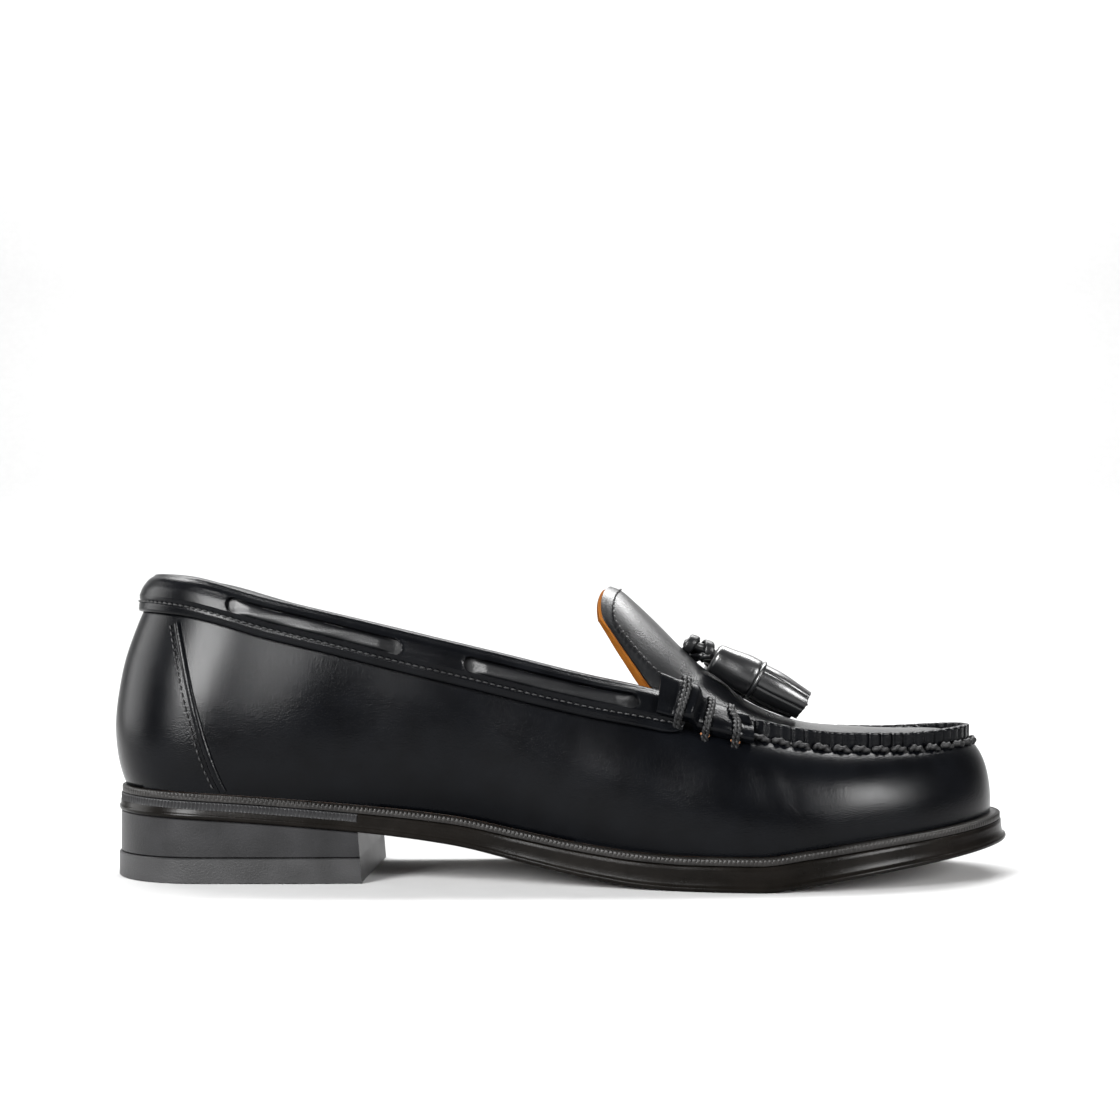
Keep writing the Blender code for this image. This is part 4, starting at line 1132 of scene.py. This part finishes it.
def upper_finish():
    """Vamp and quarters in fine mesh, lined inside, with the pleated lip of the moc seam."""
    a, along = upper_fine_turns()
    outer_v = np.concatenate([np.linspace(0, 0.88, 36), np.linspace(0.892, 1.0, 11),
                              np.linspace(1.08, 2.0, 12)])
    grid_a, grid_v = np.meshgrid(a, outer_v, indexing="ij")
    face = surface(grid_a, grid_v)
    out = normal(grid_a, np.minimum(grid_v, 1.9))
    relief = upper_relief(grid_a, grid_v, along[:, None], face)
    outer = face + out * relief[..., None]
    edge = unit(surface(a, np.full(a.shape, 2.0)) - surface(a, np.full(a.shape, 1.9)))
    out_top = out[:, -1]
    base = outer[:, -1]
    notch = (pleat(along) * pleated(a))[:, None]
    rim = []
    for off, rise in ((-0.10, 0.00022), (-0.3, 0.00042), (-0.7, 0.00042), (-0.9, 0.00022)):
        rim.append(base + out_top * off * WALL + edge * (rise - 0.0005 * notch * (1 - abs(off))))
    inner_v = np.array([1.9, 1.6, 1.3, 1.08, 0.95, 0.86, 0.76, 0.64, 0.52, 0.38, 0.25, 0.12, 0.03])
    grid_a, grid_v = np.meshgrid(a, inner_v, indexing="ij")
    inner = surface(grid_a, grid_v) - normal(grid_a, grid_v) * WALL
    last = foot_plan(a, WALL)
    last = with_z(last, welt_top(last[:, 0]) + GAP)
    grid = np.concatenate([outer, np.stack(rim, axis=1), inner, last[:, None]], axis=1)
    shape = skin(grid, ring=True)
    count = grid.shape[1]
    lined = np.arange(len(shape[1])) % count
    kinds = ((lined >= outer.shape[1] + 8) & (lined < count - 1)).astype(int)
    piece("upper_finish", shape, [LEATHER, LINING], ("upper",), sharp=70,
          kinds=kinds)


# Distance of the stitches behind the counter seam
COUNTER_STITCH_GAP = 0.0030


def seam_turn(v):
    """Turn of the counter seam at height v on the outer side."""
    return turn(COUNTER_SHARE - COUNTER_SWEEP * np.minimum(v, 1.0))


def counter_seams():
    """Piped ridge over each counter seam and the stitches behind it."""
    v = np.linspace(0.015, 0.83, 60)
    across_step = np.linspace(-1, 1, 13)
    piping = []
    threads = []
    for flip in (False, True):
        a = seam_turn(v)
        a = 2 - a if flip else a
        line = surface(a, v)
        out = normal(a, v)
        along = unit(np.gradient(line, axis=0))
        over = unit(np.cross(along, out))
        shape = np.sqrt(np.clip(1 - across_step**2, 0, 1)) ** 1.2
        wide = RIDGE_WIDTH / 2
        top = (line[:, None] + over[:, None] * across_step[None, :, None] * wide
               + out[:, None] * ((RIDGE_HEIGHT + 0.0003) * shape[None, :, None] - 0.0003))
        base = line - out * 0.0006
        piping.append(skin(np.concatenate([top, base[:, None]], axis=1)))
        step = 1e-4
        run = np.linalg.norm(surface(a + step, v) - surface(a - step, v), axis=1) / (2 * step)
        shift = COUNTER_STITCH_GAP / run * (1 if flip else -1)
        row = surface(a + shift, v)
        threads.append(sewn_row(row, normal(a + shift, v), *SEAM_STITCH))
    piece("counter_piping", merged(piping), LEATHER)
    piece("counter_stitches", merged(threads), FINE_THREAD)


MOC_STITCH_PITCH = 0.0066
MOC_STITCH_ROW = 0.935
MOC_STITCH_LENGTH = 0.0056
MOC_STITCH_RADIUS = 0.00122
MOC_STITCH_TWIST = 0.0046


def moc_stitches():
    """Twisted hand stitches of the moc seam, in the groove under the lip."""
    first = turn(PLEAT_FROM)
    fine = np.linspace(first, 2 - first, 3001)
    line = surface(fine, np.full(fine.shape, MOC_STITCH_ROW))
    out = normal(fine, np.full(fine.shape, MOC_STITCH_ROW))
    run = lengths(line)
    count = int(run[-1] // MOC_STITCH_PITCH)
    begin = (run[-1] - (count - 1) * MOC_STITCH_PITCH) / 2
    along = np.linspace(-0.5, 0.5, 13)
    parts = []
    for k in range(count):
        at = begin + k * MOC_STITCH_PITCH + along * MOC_STITCH_LENGTH
        face = unit(read_at(at, run, out))
        rise = 0.72 * MOC_STITCH_RADIUS - 1.5 * MOC_STITCH_RADIUS * (2 * np.abs(along)) ** 4
        slant = 0.0005 * 2 * along * (1 if k < count / 2 else -1)
        path = read_at(at, run, line) + face * rise[:, None] + np.array([0, 0, 1.0]) * -slant[:, None]
        parts.append(ply_cord(path, MOC_STITCH_RADIUS, MOC_STITCH_TWIST, face, taper=0.0016,
                              start=0.6 * k))
    piece("moc_stitches", merged(parts), CORD_THREAD, sharp=70)


# Fine rows between two rows of the apron, and the side that its face is turned to
ROW_STEPS = 7
APRON_UP = np.array([0.4, 0, 1.0])

# Rim of the lining past the leather, rounding of the tongue's corners, place of the stitches
RIM_REACH = 0.0010
CORNER_LENGTH = 0.022
CORNER_CUT = 0.42
TONGUE_STITCH_INSET = 0.0042


def apron_grid(edge=0.0, rear=0):
    """Fine grid of the apron and tongue's top face, drawn in at its edges and its free end."""
    rows = apron_rows()
    grid = np.stack([spline(rows[:, j], ROW_STEPS) for j in range(rows.shape[1])], axis=1)
    run = lengths(grid[:, grid.shape[1] // 2])
    late = np.clip((run - run[-1] + CORNER_LENGTH) / CORNER_LENGTH, 0, 1)
    keep = 1 - CORNER_CUT * late**3
    at = np.linspace(0, 1, grid.shape[1])
    grid = np.array([read_at(0.5 + (at - 0.5) * k, at, row) for row, k in zip(grid, keep)])
    if rear > 0:
        grid = grid[:-rear]
    if rear < 0:
        more = grid[-1] + unit(grid[-1] - grid[-3]) * RIM_REACH
        grid = np.concatenate([grid, more[None]])
    if edge:
        cuts = np.minimum(edge / np.linalg.norm(grid[:, -1] - grid[:, 0], axis=1), 0.45)
        grid = np.array([read_at(cut + at * (1 - 2 * cut), at, row) for row, cut in zip(grid, cuts)])
    return grid


def layer(name, top, bottom, edge, rear, looks, nodes=()):
    """One layer of the apron and tongue between two depths, with rounded edges."""
    grid = apron_grid(edge, rear)
    out = grid_normals(grid, APRON_UP)
    spread = np.linspace(-1, 1, grid.shape[1])
    row = np.arange(len(grid))
    soft = ease((np.abs(spread) - 0.95) / 0.05)[None, :] + ease((row - row[-1] + 3) / 3.0)[:, None]
    half = (top - bottom) / 2
    draw = np.clip(soft, 0, 1) * 0.35 * half
    upper_side = grid - out * (-top + draw)[..., None]
    lower_side = grid - out * (-bottom - draw)[..., None]
    x, y = grid[..., 0], grid[..., 1]
    wave = 0.00010 * np.sin(2 * np.pi * (x / 0.031 + 0.4)) * np.sin(2 * np.pi * (y / 0.023 + 0.2))
    upper_side = upper_side + out * wave[..., None] * (1 - np.clip(soft, 0, 1))[..., None]
    sections = np.concatenate([upper_side, lower_side[:, ::-1]], axis=1)
    piece(name, skin(sections), looks, nodes, sharp=60)


def apron():
    """Moc plug and tongue in three layers, with the row of stitches round the tongue's edge."""
    layer("apron_leather", 0.0, -0.00115, 0.0, 0, APRON_LEATHER, ("apron_tongue",))
    layer("apron_middle", -0.00115, -0.0016, 0.0006, 1, RAW_EDGE)
    layer("apron_lining", -0.0016, -0.0026, 0.0, -1, SUEDE_EDGE)
    grid = apron_grid(TONGUE_STITCH_INSET)
    out = grid_normals(grid, APRON_UP)
    first = int(14.2 * ROW_STEPS)
    full = lengths(grid[:, grid.shape[1] // 2])
    last = int(np.searchsorted(full, full[-1] - TONGUE_STITCH_INSET))
    near = [(i, 0) for i in range(first, last)]
    over = [(last, j) for j in range(grid.shape[1])]
    far = [(i, grid.shape[1] - 1) for i in range(last - 1, first - 1, -1)]
    index = near + over + far
    line = np.array([grid[i, j] for i, j in index])
    face = np.array([out[i, j] for i, j in index])
    for _ in range(12):
        line[1:-1] = (line[:-2] + 2 * line[1:-1] + line[2:]) / 4
    row = sewn_row(line + 0.00022 * face, face, *TONGUE_STITCH)
    piece("tongue_stitches", row, FINE_THREAD)


BAND_COLUMN_STEP = 0.00055
SLOT_RIM = 0.00018


def band_profile(depth):
    """Face of the band from its lower edge to the fold: distances down and heights off."""
    tunnel = BAND_EASE + LACE_THICKNESS + 1.5 * GAP
    proud = tunnel + BAND_WALL
    top = LACE_DROP - LACE_HEIGHT / 2 - TUNNEL_EASE
    bottom = LACE_DROP + LACE_HEIGHT / 2 + TUNNEL_EASE
    hem = max(depth - BAND_HEM, bottom + 2 * GAP)
    knots = np.array([
        (-0.45 * BAND_FOLD, 0.60 * proud),
        (top, proud),
        ((top + bottom) / 2, proud + 0.35 * BAND_WALL),
        (bottom, 0.97 * proud),
        (hem - 0.0008, 0.80 * proud),
        (hem, 0.68 * proud),
        (hem + 0.0008, 0.70 * proud),
        (depth - 0.0003, BAND_EASE + 1.0 * BAND_WALL),
    ])
    return knots[:, 0], knots[:, 1], proud, hem


def band_depth(c):
    """Depth of the band's face at a share of the length, rounded off at its front end."""
    free = np.clip((BAND_FRONT_SHARE - c) * LENGTH / BAND_POINT, 0, 1)
    return (BAND_DEPTH - BAND_FOLD) * (0.72 + 0.28 * math.sqrt(1 - (1 - free) ** 2))


def band_fine_turns():
    """Columns of the band, closest at the round ends of its slots."""
    end = turn(BAND_FRONT_SHARE)
    fine = np.linspace(end, -end, 4001)
    middle = np.array([placed(a, [(LACE_DROP, 0.0)])[0] for a in fine[::8]])
    run = np.interp(fine, fine[::8][::-1], lengths(middle)[::-1])
    step = np.full(fine.shape, BAND_COLUMN_STEP)
    c = share(fine)
    for start, stop in SLOTS:
        for edge in (start, stop):
            step = np.where(np.abs(c - edge) < 0.012, 0.00022, step)
    step = np.where(BAND_FRONT_SHARE - c < 0.03, 0.00035, step)
    dense = np.concatenate([[0], np.cumsum(np.abs(np.diff(run)) / step[1:])])
    return np.interp(np.linspace(0, dense[-1], int(dense[-1]) + 1), dense, fine), fine, run


def slot_distance(s, down, ends):
    """Signed distance to the nearest slot's edge: negative inside it."""
    least = np.full(np.broadcast(s, down).shape, 1.0)
    radius = SLOT_HEIGHT / 2
    for first, last in ends:
        along = np.clip(s, first + radius, last - radius) - s
        least = np.minimum(least, np.hypot(along, down - LACE_DROP) - radius)
    return least


def band_finish():
    """Folded collar band with its padded face, open slots and turned edges."""
    a, fine, run = band_fine_turns()
    s = np.interp(-a, -fine, run)
    ends = []
    for sign in (1, -1):
        for start, stop in SLOTS:
            pair = np.interp([-sign * turn(start), -sign * turn(stop)], -fine, run)
            ends.append((pair.min(), pair.max()))
    inside = -WALL - BAND_INNER_EASE
    edges = (LACE_DROP - SLOT_HEIGHT / 2, LACE_DROP + SLOT_HEIGHT / 2)
    downs = [-0.45 * BAND_FOLD, *np.linspace(-0.0003, 0.0118, 34)]
    for edge in edges:
        downs += [edge - 0.00020, edge - 0.00008, edge + 0.00008, edge + 0.00020]
    downs = np.array(sorted(downs))
    sections = []
    floor = BAND_EASE + 0.35 * LACE_THICKNESS
    for turn_at, at in zip(a, s):
        depth = band_depth(float(share(turn_at)))
        xs, ys, proud, hem = band_profile(depth)
        rows = np.minimum(downs, depth - 0.0003)
        rows = rows + np.linspace(0, 1e-6, len(rows))
        height = np.interp(rows, xs, ys)
        bend = 0.5 * (np.interp(rows - 0.0005, xs, ys) + np.interp(rows + 0.0005, xs, ys))
        height = np.where(np.abs(rows - hem) < 0.0012, height, bend)
        gap = slot_distance(at, rows, ends)
        open_now = ease((SLOT_RIM - gap) / (2 * SLOT_RIM))
        rim = 0.00016 * np.exp(-((np.maximum(gap, 0) / 0.0006) ** 2)) * (gap > -SLOT_RIM)
        height = (height + rim) * (1 - open_now) + floor * open_now
        height = height + 0.00006 * math.sin(at / 0.0052) * np.sin(rows / 0.0021 + 0.4 * at / 0.01)
        face = np.stack([rows, height], axis=-1)
        behind = np.array([
            (depth, BAND_EASE + 0.7 * BAND_WALL), (depth, BAND_EASE + 0.15 * BAND_WALL),
            (hem, BAND_EASE - 0.0002), (LACE_DROP, BAND_EASE - 0.0002),
            (-0.5 * BAND_EASE, BAND_EASE - 0.0002), (-BAND_EASE, inside),
            (0.5 * BAND_INNER_DEPTH, inside), (BAND_INNER_DEPTH, inside),
            (BAND_INNER_DEPTH + 0.0002, inside - 0.5 * BAND_WALL),
            (BAND_INNER_DEPTH - 0.0001, inside - 0.95 * BAND_WALL),
            (0.5 * BAND_INNER_DEPTH, inside - BAND_WALL), (0.12 * BAND_INNER_DEPTH, inside - BAND_WALL),
            (-0.25 * BAND_FOLD, inside - 0.95 * BAND_WALL),
        ])
        t = np.linspace(0.12, 0.9, 9) * np.pi
        mid = (0.60 * proud + inside - 0.95 * BAND_WALL) / 2
        wide = (0.60 * proud - inside + 0.95 * BAND_WALL) / 2
        fold = np.stack([-0.35 * BAND_FOLD - 0.68 * BAND_FOLD * np.sin(t), mid - wide * np.cos(t)], axis=-1)
        sections.append(placed(turn_at, np.concatenate([face, behind, fold])))
    piece("band_finish", skin(sections), LEATHER, ("collar_band",), sharp=75)


def lace_finish():
    """Thong in the band, rounded up into each slot."""
    half = LACE_HEIGHT / 2
    crest = SLOT_HEIGHT / 2 - 0.5 * GAP
    sections = []
    across_step = np.linspace(-1, 1, 15)
    for a in band_turns(LACE_FRONT_SHARE, 700):
        c = float(share(a))
        flat = BAND_EASE + LACE_THICKNESS
        down = LACE_DROP + across_step * crest
        off = flat + LACE_SWELL * in_slot(c) * (1 - np.abs(across_step) ** 3) ** 0.6
        off = off + 0.00008 * np.sin(c * LENGTH / 0.0035 + 3 * across_step)
        outline_here = np.concatenate([
            [(LACE_DROP - half, BAND_EASE), (LACE_DROP - half, flat)],
            np.stack([down, off], axis=-1),
            [(LACE_DROP + half, flat), (LACE_DROP + half, BAND_EASE)],
        ])
        sections.append(placed(a, outline_here))
    piece("lace_finish", skin(sections), THONG_LEATHER, ("collar_lace",),
          sharp=65)


def band_stitches():
    """Row of stitches along the band's hem."""
    end = turn(BAND_FRONT_SHARE - 0.004)
    line = []
    lifted = []
    for a in np.linspace(end, -end, 700):
        xs, ys, proud, hem = band_profile(band_depth(float(share(a))))
        down = hem + 0.0001
        off = np.interp(down, xs, ys)
        low, high = placed(a, [(down, off), (down, off + 0.001)])
        line.append(low)
        lifted.append(unit(high - low))
    row = sewn_row(np.array(line), np.array(lifted), *BAND_STITCH)
    piece("band_stitches", row, FINE_THREAD)


# Cords of the bindings, and thicknesses of the rolls
CORD_RADIUS = 0.00082
CORD_PITCH = 0.0036
TAB_THICKNESS = 0.0021
PINCH_THICKNESS = 0.0039
SWELL_THICKNESS = 0.0047
FRONT_TAB_RISE = 0.0014


def roll_height(s):
    """Thickness of the roll: thin tabs at its ends, slightly drawn in under each binding."""
    reach = 1.2 * binding_reach()
    body = float(ease((s - BINDINGS[0] + reach) / reach) * ease((BINDINGS[-1] + reach - s) / reach))
    nearest = min(abs(s - at) for at in BINDINGS)
    middle = (BINDINGS[1] - BINDINGS[0]) / 2
    swell = math.sin(0.5 * math.pi * min(nearest / middle, 1.0)) ** 0.8
    full = PINCH_THICKNESS + (SWELL_THICKNESS - PINCH_THICKNESS) * swell
    tab = TAB_THICKNESS + FRONT_TAB_RISE * float(ease((s - BINDINGS[1]) / (BINDINGS[-1] - BINDINGS[1])))
    return tab + (full - tab) * body


def rolls():
    """Padded rolls with square-cut tabs, each bound by three twisted double cords."""
    reach = binding_reach()
    marks = set(np.linspace(0, 1, 46))
    for s in BINDINGS:
        marks |= {s - reach, s + reach, s - 0.99 * reach, s + 0.99 * reach}
    for low, high in zip(BINDINGS[:-1], BINDINGS[1:]):
        marks |= set(np.linspace(low + reach, high - reach, 22))
    marks = sorted(marks)
    for side_name, sign in (("outer", 1), ("inner", -1)):
        sections = []
        for s in marks:
            face, base = roll_outline(s)
            start = face[0][0]
            end = face[-1][0]
            back = [(end + (start - end) * t, base) for t in (0.0, 0.5, 1.0)]
            sections.append(placed(roll_turn(s, sign), face + back))
        piece(f"roll_finish_{side_name}", skin(sections), LEATHER,
              (f"beefroll_{side_name}",), sharp=60)
        specks = []
        for number, s in enumerate(BINDINGS, 1):
            cords = []
            for k, shift in enumerate((-0.5, 0.5)):
                at = s + shift * 2.1 * CORD_RADIUS * reach / BINDING_WIDTH
                face, base = roll_outline(at, 0.85 * CORD_RADIUS)
                start = face[0][0]
                end = face[-1][0]
                route = [(start - 0.0002, base - 0.0006), (start - 0.0001, base + 0.0006), *face,
                         (end + 0.0006, base + 0.0004), (end + 0.0013, base - 0.0012)]
                path = spaced(spline(placed(roll_turn(at, sign), route), 3), 110)
                middle, outer = placed(roll_turn(at, sign), [(0.004, 0.0), (0.004, 0.01)])
                cords.append(ply_cord(path, CORD_RADIUS, CORD_PITCH, unit(outer - middle) * sign,
                                      start=1.5 * k + number))
            piece(f"binding_finish_{side_name}_{number}", merged(cords), CORD_THREAD,
                  (f"binding_{side_name}_{number}",), sharp=80)
            if number > 1:
                for k in range(4):
                    at = s + (k - 1.5) * 0.35 * reach
                    face, base = roll_outline(at, 0.0)
                    spot = placed(roll_turn(at, sign), [(face[-1][0] + 0.0007, base + 0.0004)])[0]
                    specks.append(blob(spot, 0.00055 + 0.0001 * (k % 2), k + number))
        piece(f"raw_specks_{side_name}", merged(specks), RAW_SPECK, sharp=80)


def blob(spot, size, seed):
    """Small rough lump, such as a bit of raw leather in a stitch hole."""
    rng = np.random.default_rng(seed)
    angles = np.arange(8) * np.pi / 4
    sections = []
    for t in np.linspace(0.15, np.pi - 0.15, 5):
        radius = size * np.sin(t) * (1 + 0.25 * rng.uniform(-1, 1, 8))
        ring = np.stack([np.cos(angles) * radius, np.sin(angles) * radius,
                         np.full(8, size * np.cos(t))], axis=-1)
        sections.append(np.asarray(spot) + ring)
    return skin(sections)


# Tassels: how much fuller they are than their solids, and the strips of a skirt
FULLNESS = 1.07
STRIP_COUNT = 6
STRIP_THICKNESS = 0.0011
CAP_STEPS = 64
KNOT_STEPS = 28


def cap_finish(side_name, start, axis):
    """Rolled cap with a rounded shoulder, a lap seam and a turned ring at its lower edge."""
    top = FULLNESS * CAP_TOP_DIAMETER / 2
    low = FULLNESS * CAP_DIAMETER / 2
    ring = CAP_LENGTH - CAP_RING_HEIGHT
    profile = [(0.0, 0.001), (0.0, 0.70 * top), (0.00035, 0.86 * top), (0.0009, 0.955 * top), (0.0016, top)]
    for t in np.linspace(0.15, 1.0, 12):
        profile.append((0.0016 + (ring - 0.0022) * t, top + (low - top) * ease(t / 0.8)))
    profile += [(ring - 0.0003, low - 0.00012), (ring, low - 0.0004), (ring + 0.0002, low - 0.0001),
                (ring + 0.0005, low + 0.00032), (ring + 0.0009, low + 0.00038),
                (CAP_LENGTH - 0.0003, low + 0.0002), (CAP_LENGTH, low - 0.0003),
                (CAP_LENGTH - 0.0002, 0.80 * low), (CAP_LENGTH - 0.0004, 0.2 * low)]

    def wrapped(radius, index):
        angle = index * 2 * np.pi / CAP_STEPS
        lap = np.exp(-(((angle - 4.0) / 0.10) ** 2)) * 0.00022
        return radius * (1 + 0.012 * np.sin(2 * angle + 0.5)) + lap * (radius > 0.6 * top)

    sections = along_axis(start, axis, profile, CAP_STEPS, wrapped)
    return piece(f"cap_finish_{side_name}", skin(sections), TASSEL_LEATHER,
                 (f"tassel_cap_{side_name}",), sharp=60)


def strips_finish(side_name, start, axis, seed):
    """Flat leather strips round the cap's lower end, each cut free, over a rolled core."""
    rng = np.random.default_rng(seed)
    axis = unit(np.array(axis, dtype=float))
    begin = np.array(start) + axis * (CAP_LENGTH - 0.0006)
    over = unit(np.cross(axis, np.array([0.0, 0.0, 1.0])))
    high = np.cross(over, axis)
    top = FULLNESS * SKIRT_DIAMETER / 2
    end = 1.08 * FULLNESS * SKIRT_END_DIAMETER / 2
    reach = SKIRT_LENGTH + 0.0006
    parts = []
    along = np.linspace(0, 1, 20)
    spread = np.linspace(-1, 1, 13)
    for k in range(STRIP_COUNT):
        middle = 2 * np.pi * k / STRIP_COUNT + 0.20 + rng.uniform(-0.04, 0.04)
        longer = reach * (1 + rng.uniform(-0.012, 0.012))
        twist = rng.uniform(-0.05, 0.05)
        lift = rng.uniform(-0.0003, 0.0004)
        half = np.pi / STRIP_COUNT * 0.95
        grid = []
        for t in along:
            radius = top * (1 + 0.03 * math.sin(np.pi * t)) + (end - top) * ease((t - 0.25) / 0.75)
            radius += lift * t**2
            crown = 0.00014 * (1 - spread**2)
            narrow = 1 - 0.05 * t
            angle = middle + twist * t**2 + spread * half * narrow
            face = np.cos(angle)[:, None] * over + np.sin(angle)[:, None] * high
            outer = begin + axis * longer * t + face * (radius + crown)[:, None]
            edge_in = np.where(np.abs(spread) == 1, 0.00018, 0.0)
            outer = outer - face * edge_in[:, None]
            inner = begin + axis * longer * t + face * (radius - STRIP_THICKNESS)
            grid.append(np.concatenate([outer, inner[::-1]]))
        parts.append(skin(grid))
    skirt = piece(f"strips_finish_{side_name}", merged(parts), TASSEL_LEATHER,
                  (f"tassel_skirt_{side_name}",), sharp=45)
    turns_in = np.linspace(0.6, 3.1 * 2 * np.pi, 150)
    radius = 0.0002 + 0.00013 * turns_in
    grid = []
    for r, angle in zip(radius, turns_in):
        face = math.cos(angle) * over + math.sin(angle) * high
        depth = reach + 0.0002 + 0.0012 * math.exp(-r / 0.0012)
        grid.append(np.array([begin + axis * d + face * w for d, w in
                              ((0.004, r), (depth, r), (depth, r + 0.0006), (0.004, r + 0.0006))]))
    core = piece(f"core_finish_{side_name}", skin(grid), RAW_EDGE, sharp=60)
    return skirt, core


def flat_thong(path, wide, thick, up):
    """Flat leather lace along a path, its face towards up."""
    over, high = frames_along(path, up)
    t = np.arange(16) * 2 * np.pi / 16
    x = np.sign(np.cos(t)) * np.abs(np.cos(t)) ** 0.6 * wide / 2
    y = np.sign(np.sin(t)) * np.abs(np.sin(t)) ** 0.8 * thick / 2
    grid = path[:, None] + over[:, None] * x[None, :, None] + high[:, None] * y[None, :, None]
    return skin(grid)


THONG_THICKNESS = 0.0015

# The knot's windings: middle, direction, radius of their centre line and pitch
WIND_PLACE = np.array([0.1967, -0.0002, 0.0756])
WIND_ALONG = unit(np.array(KNOT_AXIS, dtype=float))
WIND_RADIUS = 0.0031
WIND_PITCH = 0.0040

# For each thong: the way round that it winds and where it starts along the knot
WIND_STARTS = {"outer": (-1.0, -0.0047), "inner": (1.0, 0.0002)}


def thong_path(side_name):
    """Out of a hole in the tongue, once round the knot and on into the top of the cap."""
    start, axis = TASSELS[side_name]
    cap_axis = unit(np.array(axis, dtype=float))
    hand, first = WIND_STARTS[side_name]
    over = np.array([0.0, 1.0, 0.0])
    down = -unit(np.cross(WIND_ALONG, over))
    if down[2] > 0:
        down = -down
    hole = WIND_ALONG * (first - 0.0012) + down * (WIND_RADIUS + 0.0016) - over * hand * 0.001
    route = [WIND_PLACE + hole]
    for angle in np.linspace(0.10 * np.pi, 1.97 * np.pi, 13):
        around = down * math.cos(angle) + over * hand * math.sin(angle)
        reach = first + WIND_PITCH * angle / (2 * np.pi)
        route.append(WIND_PLACE + WIND_ALONG * reach + around * WIND_RADIUS)
    last = route[-1]
    end = np.array(start) + cap_axis * 0.0002
    route.append(last + (end - last) * 0.45 + np.array([0.0, 0.0, -0.0004]))
    route.append(end)
    return spaced(spline(route, 6), 72)


def knot_finish():
    """Folded core of the knot that the thongs are wound round."""
    core = [(along * KNOT_RADIUS * 1.05, 0.64 * wide * KNOT_RADIUS) for along, wide in KNOT_FORM]

    def folded(radius, index):
        angle = index * 2 * np.pi / KNOT_STEPS
        return radius * (1 + 0.10 * np.cos(3 * angle + 0.4) + 0.05 * np.cos(5 * angle))

    shape = skin(along_axis(WIND_PLACE, KNOT_AXIS, core, KNOT_STEPS, folded))
    return piece("knot_finish", shape, THONG_LEATHER, ("lace_knot",), sharp=70)


def tassels():
    """Knot, thongs and tassels: each thong is a cord with its cap and strips on it."""
    knot = knot_finish()
    for number, (side_name, (start, axis)) in enumerate(TASSELS.items()):
        cap = cap_finish(side_name, start, axis)
        skirt, core = strips_finish(side_name, start, axis, 11 + number)
        path = thong_path(side_name)
        from_middle = path - WIND_PLACE
        radial = unit(from_middle - (from_middle @ WIND_ALONG)[:, None] * WIND_ALONG)
        late = ease((np.linspace(0, 1, len(path)) - 0.72) / 0.2)[:, None]
        up = unit(radial * (1 - late) + np.array([0.2, 0.0, 1.0]) * late)
        thong = flat_thong(path, THONG_DIAMETER, THONG_THICKNESS, up)
        cord = piece(f"thong_finish_{side_name}", thong, THONG_LEATHER,
                     (f"thong_{side_name}",), sharp=60)


def main():
    camera()
    studio()
    tassels()
    outsole_finish()
    welt_finish()
    rand_finish()
    heel()
    sock()
    upper_finish()
    counter_seams()
    moc_stitches()
    apron()
    band_finish()
    lace_finish()
    band_stitches()
    rolls()


main()
